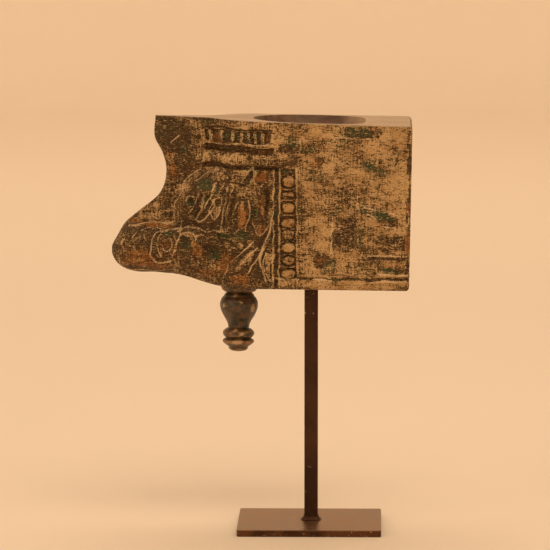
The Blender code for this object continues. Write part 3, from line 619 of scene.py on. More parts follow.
def waves_of(x, up, seed, scales):
    """Gentle unevenness of hand work: a sum of sines of seeded directions and phases."""
    chance = np.random.default_rng(seed)
    total = np.zeros(x.shape)
    for scale, height in scales:
        for _ in range(5):
            angle, phase = chance.uniform(0.0, 2.0 * math.pi, 2)
            turn = 2.0 * math.pi / (scale * chance.uniform(0.75, 1.3))
            along = x * math.cos(angle) + up * math.sin(angle)
            total += height / 5.0 * np.sin(turn * along + phase)
    return total


# Lines that are rubbed pale without standing proud, as (points in mm, how pale).
PALE_LINES = (
    (((19.9, 66.0), (20.1, 45.4), (19.3, 32.1)), 0.92), (((42.8, 96.0), (42.9, 30.0)), 0.74),
    (((20.2, 136.0), (20.1, 66.0)), 0.70), (((52.0, 30.9), (82.8, 31.0)), 0.88),
    (((60.9, 14.4), (87.2, 14.3)), 0.96), (((53.2, 8.2), (87.2, 8.7)), 0.92),
    (((-30.0, 9.6), (-8.5, 9.6)), 0.88), (((4.0, 9.2), (20.0, 9.2)), 0.96),
    (((50.5, 68.3), (56.0, 66.0), (63.2, 57.7), (76.8, 54.5)), 0.86),
    (((48.4, 73.6), (73.6, 68.3)), 0.84), (((-16.0, 131.0), (20.0, 131.0)), 0.72),
    (((22.0, 134.5), (52.0, 133.6)), 0.82),
    (((-96.5, 104.3), (-106.0, 97.4), (-112.6, 90.7), (-117.1, 79.6)), 0.80),
    (((-90.1, 102.7), (-101.2, 93.7)), 0.80), (((-82.2, 106.3), (-86.6, 101.0)), 0.82),
    (((-123.8, 126.6), (-119.3, 130.6), (-116.5, 133.4)), 0.92),
    (((-92.0, 127.2), (-35.2, 127.8)), 0.80),
    (((-113.0, 88.0), (-119.0, 72.0), (-121.0, 58.0)), 0.78),
    (((-84.1, 91.8), (-87.4, 86.3)), 0.90),
    (((83.0, 80.0), (85.4, 74.9), (86.5, 62.7), (85.0, 57.3)), 0.90),
    (((-77.0, 62.0), (-79.5, 50.0)), 0.76),
)


CREST_REACH = 0.002
BANDS_LEFT, BANDS_RIGHT, BANDS_FADE = -0.0915, -0.0335, 0.003
DENTILS_FROM, DENTILS_TO, DENTIL_HALF = 0.0094, 0.0199, 0.0018
TONGUES_FROM, TONGUES_TO, TONGUE_HALF = 0.0290, 0.0392, 0.0026


def band_carving(x, up):
    """Bands that follow the top edge, with upright bars in the upper and tongues in the lower."""
    drop = top_line(x) - up
    crest = np.zeros(x.shape)
    depths, reliefs = np.array(BANDS).T
    left_end = BANDS_LEFT - 0.10 * np.clip(drop - 0.020, 0.0, 0.030)
    right_end = BANDS_RIGHT + 0.75 * np.clip(drop - 0.036, 0.0, 0.016)
    within = stripe(x, left_end - BANDS_FADE, right_end + BANDS_FADE, BANDS_FADE)
    relief = np.interp(drop, depths, reliefs) * within
    in_dentils = stripe(drop, DENTILS_FROM, DENTILS_TO, 0.0008)
    for place in DENTILS:
        aside = np.abs(x - place * MM)
        relief += 0.0022 * ease((DENTIL_HALF - aside) / 0.0010) * in_dentils * within
        crest = np.maximum(crest, 0.88 * in_dentils * closeness(aside - 0.0008, CREST_REACH))
    in_tongues = ease((drop - TONGUES_FROM) / 0.0012) * ease((TONGUES_TO - drop) / 0.0016)
    spread = np.zeros(x.shape)
    for place in TONGUES:
        spread = np.maximum(spread, closeness(x - place * MM, TONGUE_HALF))
        crest = np.maximum(crest, 0.84 * in_tongues * closeness(x - place * MM, CREST_REACH))
    relief += (0.0010 * np.sqrt(spread) - 0.0005) * in_tongues * within
    return relief, crest


def leaf_carving(x, up):
    """Lines, swelling petals and hollowed pits of the bell, belly and nose."""
    relief, crest = np.zeros(x.shape), np.zeros(x.shape)
    for places, half_width, height in RIDGES + CUTS:
        raised, near = line_relief(x, up, places, half_width, height)
        relief += raised
        if height > 0.0:
            crest = np.maximum(crest, near * (0.74 + 0.16 * height))
    for places, strength in PALE_LINES:
        crest = np.maximum(crest, 1.15 * strength * line_relief(x, up, places, 1.0, 1.0)[1])
    for ovals, tallest in ((PETALS, 0.0014), (PITS, -0.0013)):
        for *shape, height in ovals:
            relief += tallest * height * np.sqrt(oval(x, up, *shape))
    return relief, crest


BEAD_TOP, BEAD_FOOT = 0.1075, 0.0095
RAIL_TOP, RAIL_FOOT = 0.1085, 0.003


def bead_carving(x, up):
    """A sunk column of beads and flat reels between upright fillets, with a groove at its left."""
    crest = np.zeros(x.shape)
    relief = -0.0006 * stripe(x, -0.0258, -0.0114, 0.001) * stripe(up, BEAD_FOOT, BEAD_TOP, 0.001)
    relief -= 0.0013 * stripe(x, -0.0306, -0.0273, 0.0008) * ease((RAIL_TOP - up) / 0.001)
    upright = stripe(up, RAIL_FOOT, RAIL_TOP, 0.001)
    for place in FILLETS:
        relief += 0.0011 * roundness(x - place * MM, 0.0010) * upright
        crest = np.maximum(crest, 0.92 * closeness(x - place * MM, CREST_REACH) * upright)
    for place, size in BEADS:
        high = 4.5 * min(size, 1.0)
        relief += 0.0025 * np.sqrt(oval(x, up, (-18.2, place), 6.2, high, 0.0, 2.4)) * size
        rim = np.hypot((x + 0.0184) / 0.0066, (up - place * MM - 0.0003) / (high * MM + 0.0006))
        relief -= 0.0010 * np.exp(-(((rim - 1.0) / 0.11) ** 2)) * ease((-0.0110 - x) / 0.001)
    for place in REELS:
        relief += 0.0010 * np.sqrt(oval(x, up, (-18.4, place), 6.4, 0.9, 0.0, 2.6))
    return relief, crest


# Low rails and grooves across the foot of the block: from x, fade, up, half height and relief.
RAILS = (
    (-0.0105, 0.001, 0.0100, 0.0011, -0.0007), (-0.0105, 0.001, 0.0125, 0.0011, 0.0005),
    (0.050, 0.006, 0.0309, 0.0010, 0.0005), (0.058, 0.006, 0.0185, 0.0010, -0.0008),
    (0.058, 0.006, 0.0143, 0.0010, 0.0005), (0.054, 0.006, 0.0116, 0.0010, -0.0009),
    (0.052, 0.006, 0.0285, 0.0010, -0.0006),
)


def carving(x, up):
    """Relief of the carved face and its crests, all drawn a little unevenly as by hand."""
    x = x + waves_of(x, up, 11, ((0.022, 0.0016), (0.009, 0.0006)))
    up = up + waves_of(x, up, 13, ((0.022, 0.0012), (0.009, 0.0005)))
    scribed = (x - 0.0882 + 0.012 * (0.14 - up)) / 0.0006
    relief, crest = -0.0006 * np.exp(-(scribed**2)), np.zeros(x.shape)
    for carved in (band_carving, leaf_carving, bead_carving):
        raised, edges = carved(x, up)
        relief += raised
        crest = np.maximum(crest, edges)
    for start, fade, height_up, half_height, height in RAILS:
        relief += height * ease((x - start) / fade) * roundness(up - height_up, half_height)
    return relief, crest


def soften(field, reach):
    """Running mean of a grid over reach cells each way, done twice."""
    for _ in range(2):
        for axis in (0, 1):
            border = [(reach + 1, reach) if a == axis else (0, 0) for a in (0, 1)]
            padded = np.pad(field, border, "edge")
            total = np.cumsum(padded, axis=axis)
            span = 2 * reach + 1
            ahead = np.take(total, np.arange(span, total.shape[axis]), axis=axis)
            behind = np.take(total, np.arange(0, total.shape[axis] - span), axis=axis)
            field = (ahead - behind) / span
    return field


# Chips along the arrises of the end, ovals as above.
CHIPS = (
    ((88.5, 112.0), 3.2, 9.0, 2.2), ((88.5, 68.0), 4.6, 13.0, 2.4), ((88.5, 44.0), 4.2, 13.0, 1.6),
    ((88.0, 128.0), 1.8, 3.0, 1.0), ((88.0, 90.0), 1.6, 4.0, 0.8), ((88.0, 20.0), 1.6, 3.0, 0.8),
)


REAR_SHARE = 0.6
THIN_EDGE = 0.0025


def carved_points(side):
    """One carved face: the blank's surface moved out along its normals by the relief.

    The relief fades out toward every edge, and the rear's is lower than the front's.
    """
    x, up = face_grid()
    depth = blank_depth(x, up)
    flat = np.stack([x, side * depth, UNDERSIDE + up], axis=-1)
    down, across = np.gradient(flat, axis=0), np.gradient(flat, axis=1)
    normal = np.cross(across, down) * -side
    normal /= np.linalg.norm(normal, axis=-1, keepdims=True) + 1e-12
    normal *= np.sign(normal[..., 1:2] * side + 1e-9)
    relief, crest = carving(x, up)
    if side > 0:
        relief *= REAR_SHARE
    uneven = waves_of(x, up, 4 + side, ((0.060, 0.0007), (0.022, 0.0004), (0.008, 0.00018)))
    inside = np.minimum(top_line(x) - up, up - under_line(x))
    inside = np.minimum(inside, x - through(up, OUTLINE))
    calm = ease(np.minimum(inside, BLOCK_END - x) / 0.004)
    chipped = np.zeros(x.shape)
    for place, half_width, half_height, height in CHIPS:
        chipped += height * MM * np.sqrt(oval(x, up, place, half_width, half_height, 0.0, 1.6))
    points = flat + normal * ((relief + uneven - 0.0004) * calm)[..., None]
    points[..., 1] -= side * chipped * (1.0 if side < 0 else 0.5)
    points[..., 0] = np.maximum(points[..., 0], NOSE_TIP)
    points[..., 1] = np.where(depth < THIN_EDGE, flat[..., 1], points[..., 1])
    return x, up, points, relief - 0.6 * chipped, crest


RIM_STEPS = 9


def bracket_mesh():
    """Front and rear faces joined by strips round the rim, the rear with every second point.

    The last strip's faces are pentagons that close two of its points on one of the rear's.
    """
    x, up, front, relief, crest = carved_points(-1)
    rear_face = [field[::2, ::2] for field in carved_points(1)]
    rear = rear_face.pop(2)
    rows, columns = x.shape
    loop = [(0, c) for c in range(columns)] + [(r, columns - 1) for r in range(1, rows)]
    loop += [(rows - 1, c) for c in range(columns - 2, -1, -1)]
    loop = np.array(loop + [(r, 0) for r in range(rows - 2, 0, -1)])
    first = front[loop[:, 0], loop[:, 1]]
    last_side = rear[loop[::2, 0] // 2, loop[::2, 1] // 2]
    last = np.empty_like(first)
    last[::2] = last_side
    last[1::2] = 0.5 * (last_side + np.roll(last_side, -1, axis=0))
    share = np.linspace(0.0, 1.0, RIM_STEPS + 1)[1:-1, None, None]
    strips = first[None] * (1.0 - share) + last[None] * share
    points = np.concatenate([front.reshape(-1, 3), rear.reshape(-1, 3), strips.reshape(-1, 3)])
    rear_rows, rear_columns = rear.shape[:2]
    rear_start = rows * columns
    strip_start = rear_start + rear_rows * rear_columns
    front_faces = grid_faces(rows, columns)
    rear_faces = grid_faces(rear_rows, rear_columns)[:, ::-1] + rear_start
    ring = loop[:, 0] * columns + loop[:, 1]
    starts = strip_start + np.arange(RIM_STEPS - 1) * len(loop)
    rings = [ring, *(start + np.arange(len(loop)) for start in starts)]
    strip_faces = np.concatenate([
        np.stack([np.roll(here, -1), here, there, np.roll(there, -1)], axis=-1)
        for here, there in zip(rings[:-1], rings[1:])
    ])
    rear_ring = rear_start + (loop[::2, 0] // 2) * rear_columns + loop[::2, 1] // 2
    inner = rings[-1]
    pairs = [np.roll(inner, -2)[::2], np.roll(inner, -1)[::2], inner[::2]]
    closing = np.stack([*pairs, rear_ring, np.roll(rear_ring, -1)], axis=-1)
    parts = [front_faces, rear_faces, strip_faces, closing]
    zones = np.repeat([0, 0, 1, 1], [len(part) for part in parts])
    faces = [face for part in parts for face in part.tolist()]
    return points, faces, zones, (x, up, relief, crest), rear_face


def spots(x, up, places):
    """The strongest at each point of some ragged, soft-edged ovals."""
    total = np.zeros(x.shape)
    x = x + waves_of(x, up, 31, ((0.012, 0.0050), (0.005, 0.0035)))
    up = up + waves_of(x, up, 37, ((0.012, 0.0030), (0.005, 0.0025)))
    for centre_x, centre_up, half_width, half_height, strength, *tilt in places:
        reach = (1.25 * half_width, 1.25 * half_height)
        inside = oval(x, up, (centre_x, centre_up), *reach, *tilt)
        total = np.maximum(total, strength * ease(1.6 * inside))
    return total


# Where paint of each colour is left, and where the wood is barest, as ovals in mm: centre x and up,
# half width, half height, strength and, where it leans, its tilt in degrees. The dark ovals also
# hold painted shade.
GREEN_SPOTS = (
    (36, 140.4, 20, 4.5, 0.9), (27, 132, 9, 4, 0.8), (24, 127, 3, 5, 0.8),
    (-15, 130, 6, 4, 1.0, 10), (0, 124, 10, 3, 0.8), (53, 110, 6, 5, 1.0),
    (63, 104.5, 7, 3, 0.9, 10), (76, 115, 7, 2.5, 0.7), (9, 101, 10, 4, 0.8), (20, 118, 4, 5, 0.7),
    (47, 72, 6, 4.5, 1.0), (60, 67, 14, 4, 1.0, 15), (25, 70, 5, 4, 0.8), (-6, 59, 5, 3, 0.7),
    (-7, 73, 4, 4, 0.8), (45.5, 53, 4, 7, 0.8), (45.5, 44, 4, 6, 0.9), (18, 21, 6, 6, 0.9),
    (43, 19, 8, 6, 0.7), (68, 17, 15, 3, 0.8), (42, 12.5, 10, 2, 0.7), (20, 8.7, 9, 2.2, 0.8),
    (-28.7, 82, 1.6, 5, 1.0), (-28.7, 65, 1.6, 5, 1.0), (-93, 91, 7, 5, 0.9, -30),
    (-84, 87, 4, 4, 0.9), (-50.5, 67, 3, 7, 1.0), (-72, 46, 6, 4, 0.9), (-60, 46.5, 7, 3, 0.9),
    (-126, 47.5, 5, 2, 0.9), (-50, 105, 4, 2.5, 0.9), (-55, 97, 3, 5, 0.6, 20),
    (-84, 30, 4, 7, 0.7), (-110, 40, 5, 5, 0.6), (-111, 121, 4, 4, 0.7), (-65, 135, 3, 4, 0.7),
    (-45, 135, 3, 3, 0.7), (-75, 134, 3, 4, 0.6), (-55, 134, 3, 4, 0.6), (-26, 105, 4, 2, 0.6),
    (-20, 104, 7, 2.5, 0.7), (-19, 43.5, 6, 2, 0.7), (-30, 47, 1.5, 4, 0.8), (-105, 76, 3, 3, 0.9),
    (-90, 79, 2.2, 4, 0.8, 20), (-100, 65, 3, 4, 0.5, 20), (-85, 146, 12, 3, 0.6),
    (-128, 140, 12, 9, 0.4),
)
# Dark paint on the block, and painted shade on the receding prow, under the nose and in thin lines
# in the grooves of the bands.
DARK_PAINT_AND_SHADE_SPOTS = (
    (30, 43, 15, 9, 0.6), (34, 58, 10, 7, 0.55), (66, 45, 9, 4, 0.8), (81, 42, 5, 7, 0.8),
    (11, 26, 8, 6, 0.7), (11, 114, 6, 3, 0.7), (-9, 113, 9, 3, 0.7), (69, 62, 12, 5, 0.9, 15),
    (54, 138, 10, 2, 0.5), (35, 80, 10, 8, 0.3), (-17, 125, 12, 3, 0.8), (60, 28, 14, 3, 0.5),
    (70, 36, 9, 2, 0.4), (-120, 134, 24, 15, 0.95), (-112, 113, 13, 16, 0.85),
    (-100, 96, 13, 8, 0.6, -35), (-121, 92, 7, 16, 0.6, -14), (-50, 80, 7, 10, 0.3),
    (-37, 80, 3.4, 14, 0.9), (-43, 98, 6, 7, 0.7), (-118, 55, 4, 5, 0.3), (-96, 53, 12, 3, 0.7),
    (-110, 40, 6, 6, 0.9), (-86, 31, 9, 9, 0.85), (-70, 12, 16, 7, 0.6, 10),
    (-92, 13, 16, 6, 0.5, -8), (-150, 13, 26, 4, 0.9), (-160, 46, 9, 6, 0.6, -40),
    (-62, 22, 9, 7, 0.5, 40), (-82, 70, 5, 9, 0.5, 15), (-96, 72, 8, 9, 0.45, 28),
    (-36, 20, 3, 12, 0.5), (-60, 84, 7, 7, 0.3), (-28.6, 62, 1.6, 45, 0.7),
    (-66, 123.5, 27, 2.6, 1.0, 1.4), (-66, 109.6, 34, 1.2, 0.8), (-62, 140.8, 30, 1.0, 0.9, 1.4),
    (-78, 117, 16, 5, 0.45, 2), (-40, 116, 13, 4, 0.4, 2), (-44, 69, 2.6, 8, 0.4),
    (-146, 62, 10, 6, 0.3, -40), (-20, 3, 12, 3, 0.6),
)
RED_SPOTS = (
    (-58.5, 65, 4.2, 12, 1.0, 3), (-44, 54, 3, 8, 0.7), (-42, 99, 5, 5, 0.9),
    (-101, 36, 3, 7, 0.8, 6), (-96, 30, 4, 5, 0.8, 20), (-150, 24, 14, 9, 0.7),
    (-135, 18, 14, 5, 0.6), (-163, 26, 7, 9, 0.5), (-74, 22, 8, 9, 0.7, 30), (-88, 15, 10, 5, 0.6),
    # The long thin oval at (-142, 54.6) along the nose's top ridge is partly a painted highlight.
    (-60, 9, 9, 5, 0.7), (-42, 74, 3, 12, 0.6), (-142, 54.6, 20, 2.4, 0.9, 3), (88, 70, 3, 12, 0.8),
    (88, 44, 2.4, 13, 0.8), (-124, 35, 9, 9, 0.5), (-82, 133, 4, 5, 0.6), (-37, 133, 5, 5, 0.6),
    (-40, 121, 12, 3, 0.5), (-18.4, 96, 5.5, 4, 0.8), (-18.4, 59, 5, 3.6, 0.8),
    (-18.4, 37.5, 5, 3.6, 0.5), (-18.4, 72.6, 5, 3.6, 0.6), (11, 25, 4, 4, 0.6),
    (6, 113.5, 5, 2.5, 0.6), (-122, 100, 6, 8, 0.6), (-128, 115, 4, 10, 0.5, 10),
    (-100, 108, 8, 5, 0.4),
)
BARE_SPOTS = (
    (74, 90, 15, 5, 0.7), (39, 101, 10, 6, 0.6), (62, 57, 16, 3.5, 0.9, 28),
    (9, 58, 6, 16, 0.8, -22), (12, 42, 8, 9, 0.6, -20), (75, 135, 12, 7, 0.7),
    (57, 126, 14, 5, 0.5), (30, 30, 15, 4, 0.8, 6), (8, 139, 14, 5, 0.7), (2, 118, 12, 3.5, 0.7),
    (68, 24.5, 17, 3, 0.7, 8), (36, 4.8, 60, 3.2, 0.9), (0, 20, 10, 9, 0.6, 15),
    (82, 95, 6, 10, 0.4), (-97, 126, 5, 15, 0.6), (-100, 116, 4, 8, 0.5),
    (-66, 128.4, 30, 1.2, 0.4, 1.0), (-66, 144.8, 26, 2.6, 0.3, 1.5),
    (-64, 116.5, 30, 2.2, 0.2, 0.5), (-134, 72, 10, 4, 0.5, -38), (-150, 58, 10, 3, 0.7, -20),
    (-72, 87, 5, 12, 0.5, 12), (-88, 104, 12, 4, 0.5, 10), (-38, 35, 3, 16, 0.6, -14),
    (-80, 100, 8, 5, 0.5, 20), (-115, 76, 4, 10, 0.4, -10), (-74, 59, 2.5, 9, 0.4, 8),
    (-18.4, 37.4, 5, 3.6, 0.9), (-18.4, 72.6, 4.5, 3.2, 0.6), (-18.4, 14, 5, 3.4, 0.5),
    (-63, 59, 2.5, 8, 0.3), (20, 50, 1.4, 18, 0.5),
)

LAYERS = ("crest", "raised", "hollow", "green", "dark", "red", "bare")


def paint_layers(face, reach):
    """The LAYERS at each point, from 0 to 1.

    Raised and hollow say how far a point stands above or below the mean of what lies round it,
    reach cells each way and three times as far.
    """
    x, up, relief, crest = face
    rise = 1.5 * (relief - soften(relief, reach)) + 0.8 * (relief - soften(relief, reach * 3))
    layers = [crest, np.clip(rise / 0.0012, 0.0, 1.0), np.clip(-rise / 0.0010, 0.0, 1.0)]
    layers += [spots(x, up, places) for places in (GREEN_SPOTS, DARK_PAINT_AND_SHADE_SPOTS, RED_SPOTS, BARE_SPOTS)]
    # Painted shade: the dark layer is raised to at least a half over the whole carved arm, left of
    # FINE_TO_X.
    dark = LAYERS.index("dark")
    layers[dark] = np.maximum(layers[dark], 0.5 * ease((FINE_TO_X - x) / 0.006))
    return np.stack([layer.reshape(-1) for layer in layers], axis=-1)


points, faces, zones, front_face, rear_face = bracket_mesh()
face_paint = np.concatenate([paint_layers(front_face, 3), paint_layers(rear_face, 2)])
paint = np.zeros((len(points), len(LAYERS)))
paint[: len(face_paint)] = face_paint


def attribute(tree, name):
    return add_node(tree, "ShaderNodeAttribute", attribute_name=name).outputs["Fac"]


def old_paint():
    """Dark paint rubbed to tan wood on crests and in streaks, green and red left in places."""
    made, tree, shader = new_material("worn_painted_face")
    shader.inputs["Specular IOR Level"].default_value = 0.22
    streak = noise(tree, (100.0, 110.0, 520.0), 5.0, 0.68)
    fine = noise(tree, (330.0, 330.0, 1300.0), 3.0, 0.7, 2.3)
    upright = noise(tree, (820.0, 300.0, 75.0), 3.0, 0.65, 5.1)
    cloud = noise(tree, (48.0, 48.0, 75.0), 4.0, 0.6, 9.7)
    speck = noise(tree, (900.0, 900.0, 900.0), 2.0, 0.7, 12.1)
    crest, raised, hollow, green, dark, red, bare = (attribute(tree, name) for name in LAYERS)
    textures = ((fine, 0.95), (upright, 0.90), (cloud, 0.80), (speck, 1.10))
    # The dark layer, partly painted shade, holds back the rubbing so that the deep paint colour
    # shows there.
    wear_and_shade = ((bare, 0.20), (raised, 0.10), (dark, -0.34), (hollow, -0.46))
    total = weighted_sum(tree, streak, *textures, *wear_and_shade, (red, -0.06), (green, -0.12))
    rubbed = ramp(tree, total, 2.20, 2.50)
    hatch = weighted_sum(tree, streak, (upright, 1.0), (speck, 1.3))
    ragged_red, ragged_green = (
        ramp(tree, weighted_sum(tree, layer, (hatch, 1.7)), 3.22, 3.62) for layer in (red, green)
    )

    def mottled(texture, spread, low, high):
        return blend_colours(tree, ramp(tree, texture, 0.5 - spread, 0.5 + spread), low, high)

    tan = mottled(cloud, 0.12, (0.350, 0.200, 0.075), (0.510, 0.330, 0.150))
    tan = blend_colours(tree, ramp(tree, speck, 0.52, 0.72, 0.0, 0.7), tan, (0.660, 0.480, 0.270))
    deep = mottled(fine, 0.12, (0.022, 0.010, 0.002), (0.100, 0.056, 0.019))
    verdigris = mottled(fine, 0.1, (0.014, 0.030, 0.010), (0.060, 0.078, 0.030))
    rust = mottled(fine, 0.1, (0.090, 0.028, 0.005), (0.300, 0.125, 0.028))
    deep = blend_colours(tree, ragged_red, deep, rust)
    deep = blend_colours(tree, ragged_green, deep, verdigris)
    colour = blend_colours(tree, rubbed, deep, tan)
    reddish = arithmetic(tree, "MULTIPLY", ragged_red, 0.38)
    colour = blend_colours(tree, reddish, colour, (0.330, 0.130, 0.030))
    chip = ramp(tree, noise(tree, (330.0, 330.0, 1150.0), 2.0, 0.6, 15.7), 0.600, 0.660, 0.0, 0.75)
    colour = blend_colours(tree, chip, colour, (0.520, 0.350, 0.165))
    pit = ramp(tree, noise(tree, (280.0, 280.0, 950.0), 2.0, 0.6, 19.3), 0.59, 0.66, 0.0, 0.85)
    colour = blend_colours(tree, pit, colour, (0.040, 0.022, 0.007))
    broken = weighted_sum(tree, crest, (speck, 1.1), (cloud, 0.7))
    edge = arithmetic(tree, "MULTIPLY", ramp(tree, broken, 1.54, 1.76), 0.85)
    colour = blend_colours(tree, edge, colour, (0.640, 0.470, 0.270))
    roughness = ramp(tree, total, 1.6, 2.3, 0.42, 0.72)
    height = weighted_sum(tree, streak, (fine, 1.0), (upright, 1.0), (speck, 1.0), (rubbed, -0.5))
    finish_surface(tree, shader, colour, roughness, height, 0.0008, 0.9)
    return made


def sawn_wood(name, pale, brown, stain, waves, roughness=0.6, pale_from=None):
    """Bare old wood grained along the block: pale where handled, painted shade in the hollow."""
    made, tree, shader = new_material(name)
    grain = noise(tree, waves, 5.0, 0.62, 4.4)
    cloud = noise(tree, (22.0, 30.0, 30.0), 4.0, 0.55, 1.3)
    speck = noise(tree, (420.0, 700.0, 700.0), 2.0, 0.6, 8.8)
    colour = blend_colours(tree, ramp(tree, grain, 0.36, 0.66), brown, pale)
    colour = blend_colours(tree, ramp(tree, cloud, 0.52, 0.74, 0.0, 0.7), colour, stain)
    colour = blend_colours(tree, ramp(tree, speck, 0.62, 0.80, 0.0, 0.35), colour, brown)
    if pale_from:
        place = add_node(tree, "ShaderNodeTexCoord").outputs["Object"]
        along = add_node(tree, "ShaderNodeSeparateXYZ", {"Vector": place}).outputs["X"]
        colour = blend_colours(tree, ramp(tree, along, *pale_from), colour, (0.40, 0.28, 0.17))
    shine = ramp(tree, grain, 0.3, 0.7, roughness, roughness - 0.15)
    finish_surface(tree, shader, colour, shine, arithmetic(tree, "ADD", grain, speck), 0.0004, 0.6)
    return made


painted_face = old_paint()
handled_top = sawn_wood(
    "handled_top",
    pale=(0.43, 0.29, 0.175),
    brown=(0.30, 0.195, 0.115),
    stain=(0.27, 0.18, 0.105),
    waves=(18.0, 260.0, 260.0),
    roughness=0.42,
)
sawn_end = sawn_wood(
    "sawn_end",
    pale=(0.23, 0.135, 0.060),
    brown=(0.085, 0.046, 0.020),
    stain=(0.060, 0.036, 0.018),
    waves=(160.0, 220.0, 24.0),
)
# Painted shade: the hollow's wood is far darker than the top's, easing paler toward its right end.
shaded_hollow_wood = sawn_wood(
    "hollow_sides_painted_shade",
    pale=(0.190, 0.105, 0.060),
    brown=(0.095, 0.048, 0.027),
    stain=(0.130, 0.095, 0.055),
    waves=(30.0, 260.0, 60.0),
    pale_from=(0.024, 0.049),
)

PAINTED, HANDLED, SAWN, HOLLOW = range(4)
woods = [painted_face, handled_top, sawn_end, shaded_hollow_wood]


def store_layer(mesh, name, values):
    layer = mesh.attributes.new(name, "FLOAT", "POINT")
    layer.data.foreach_set("value", values.reshape(-1).astype(np.float32))


bracket = object_from("bracket_carved", points, faces, woods)
for index, name in enumerate(LAYERS):
    store_layer(bracket.data, name, paint[:, index])

MORTISE_HALF_LENGTH = 0.050
MORTISE_FRONT_WALL = 0.006
MORTISE_DEPTH = 0.022
MORTISE_FLOOR_SHARE = 0.86
CUT_PAST = 0.012
SOCKET_DEPTH = 0.0363
SEAT_RADIUS = 0.0153
SEAT_DEPTH = 0.0023
DROP_PLACE = Matrix.Translation((-0.0628, 0.0, UNDERSIDE))
DROP_PLACE = DROP_PLACE @ Matrix.Rotation(math.radians(1.2), 4, "Y")


def hollow_cutter():
    """A bowl whose rim is a superellipse, rounder at the left and squarer at the right."""
    around, levels = 120, 9
    turn = np.linspace(0.0, 2.0 * math.pi, around, endpoint=False)
    power = np.where(np.cos(turn) < 0.0, 1.0, 0.5)
    along = np.sign(np.cos(turn)) * np.abs(np.cos(turn)) ** power
    deep = np.sign(np.sin(turn)) * np.abs(np.sin(turn)) ** power
    drop = np.linspace(-MORTISE_DEPTH, CUT_PAST, levels)[:, None]
    spread = 1.0 + (1.0 - MORTISE_FLOOR_SHARE) * drop / MORTISE_DEPTH
    tooled = 0.006 * (1.0 + np.sin(turn * 17.0 + drop * 300.0))
    rough = 1.0 - tooled * np.clip(-drop / 0.004, 0.0, 1.0)
    front_half = SHOULDER_HALF - SIDE_TAPER * SHOULDER_X - MORTISE_FRONT_WALL
    x = MORTISE_HALF_LENGTH * spread * along * rough
    y = front_half * spread * deep * rough
    z = np.broadcast_to(UNDERSIDE + BLOCK_HEIGHT + drop, x.shape)
    rings = np.stack([x, y, z], axis=-1)
    faces = grid_faces(levels, around, wrap_columns=True).tolist()
    faces += [list(range(around))[::-1], list(range((levels - 1) * around, levels * around))]
    return object_from("hollow_cutter", rings, faces, [shaded_hollow_wood])


def socket_cutter():
    half = BAR_HALF_WITH_GAP
    heights = (UNDERSIDE - 0.010, UNDERSIDE + SOCKET_DEPTH)
    sides = (BAR_X - half, BAR_X + half)
    corners = [(x, y, z) for z in heights for y in (-half, half) for x in sides]
    faces = ((0, 2, 3, 1), (4, 5, 7, 6), (0, 1, 5, 4), (1, 3, 7, 5), (3, 2, 6, 7), (2, 0, 4, 6))
    return object_from("socket_cutter", corners, faces, [shaded_hollow_wood])


def seat_cutter():
    around = 64
    turn = np.linspace(0.0, 2.0 * math.pi, around, endpoint=False)
    ring = np.stack([np.cos(turn), np.sin(turn), np.zeros(around)], axis=-1) * SEAT_RADIUS
    rings = np.concatenate([ring - (0, 0, 0.008), ring + (0, 0, SEAT_DEPTH)])
    faces = grid_faces(2, around, wrap_columns=True).tolist()
    faces += [list(range(around))[::-1], list(range(around, 2 * around))]
    made = object_from("seat_cutter", rings, faces, [shaded_hollow_wood])
    made.data.transform(DROP_PLACE)
    return made


cutters = bpy.data.collections.new("hollows")
bpy.context.scene.collection.children.link(cutters)
for cutter in (hollow_cutter(), socket_cutter(), seat_cutter()):
    bpy.context.scene.collection.objects.unlink(cutter)
    cutters.objects.link(cutter)
cut = bracket.modifiers.new("hollows", "BOOLEAN")
cut.operation = "DIFFERENCE"
cut.operand_type = "COLLECTION"
cut.collection = cutters
cut.solver = "EXACT"
bracket.data.polygons.foreach_set("material_index", zones.astype(np.int32))
graph = bpy.context.evaluated_depsgraph_get()
whole = bpy.data.meshes.new_from_object(
    bracket.evaluated_get(graph), preserve_all_data_layers=True, depsgraph=graph
)
bracket.modifiers.clear()
bracket.data = whole
for cutter in list(cutters.objects):
    bpy.data.objects.remove(cutter)
bpy.data.collections.remove(cutters)


HOLLOW_RIM = (0.0515, 0.0462)


def sort_woods(mesh):
    """Which wood each face shows: paint on both faces, handled top, painted shade in the hollow,
    sawn rest.
    """
    centre, normal = np.empty((2, len(mesh.polygons) * 3))
    index = np.empty(len(mesh.polygons), np.int32)
    for name, values in (("center", centre), ("normal", normal), ("material_index", index)):
        mesh.polygons.foreach_get(name, values)
    x, y, z = centre.reshape(-1, 3).T
    facing_up = normal.reshape(-1, 3)[:, 2] > 0.9
    top = UNDERSIDE + top_line(x)
    rest = index > PAINTED
    index[rest] = SAWN
    index[rest & facing_up & (z > top - 0.0004)] = HANDLED
    power = np.where(x < 0.0, 2.0, 4.0)
    inside = (np.abs(x) / HOLLOW_RIM[0]) ** power + (np.abs(y) / HOLLOW_RIM[1]) ** power < 1.0
    floor = UNDERSIDE + BLOCK_HEIGHT - MORTISE_DEPTH
    index[inside & (z < top - 0.0006) & (z > floor - 0.001)] = HOLLOW
    mesh.polygons.foreach_set("material_index", index)
    mesh.update()


sort_woods(bracket.data)
bracket.data.set_sharp_from_angle(angle=math.radians(38.0))
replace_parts(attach(bracket, "root"), "carved_bracket")

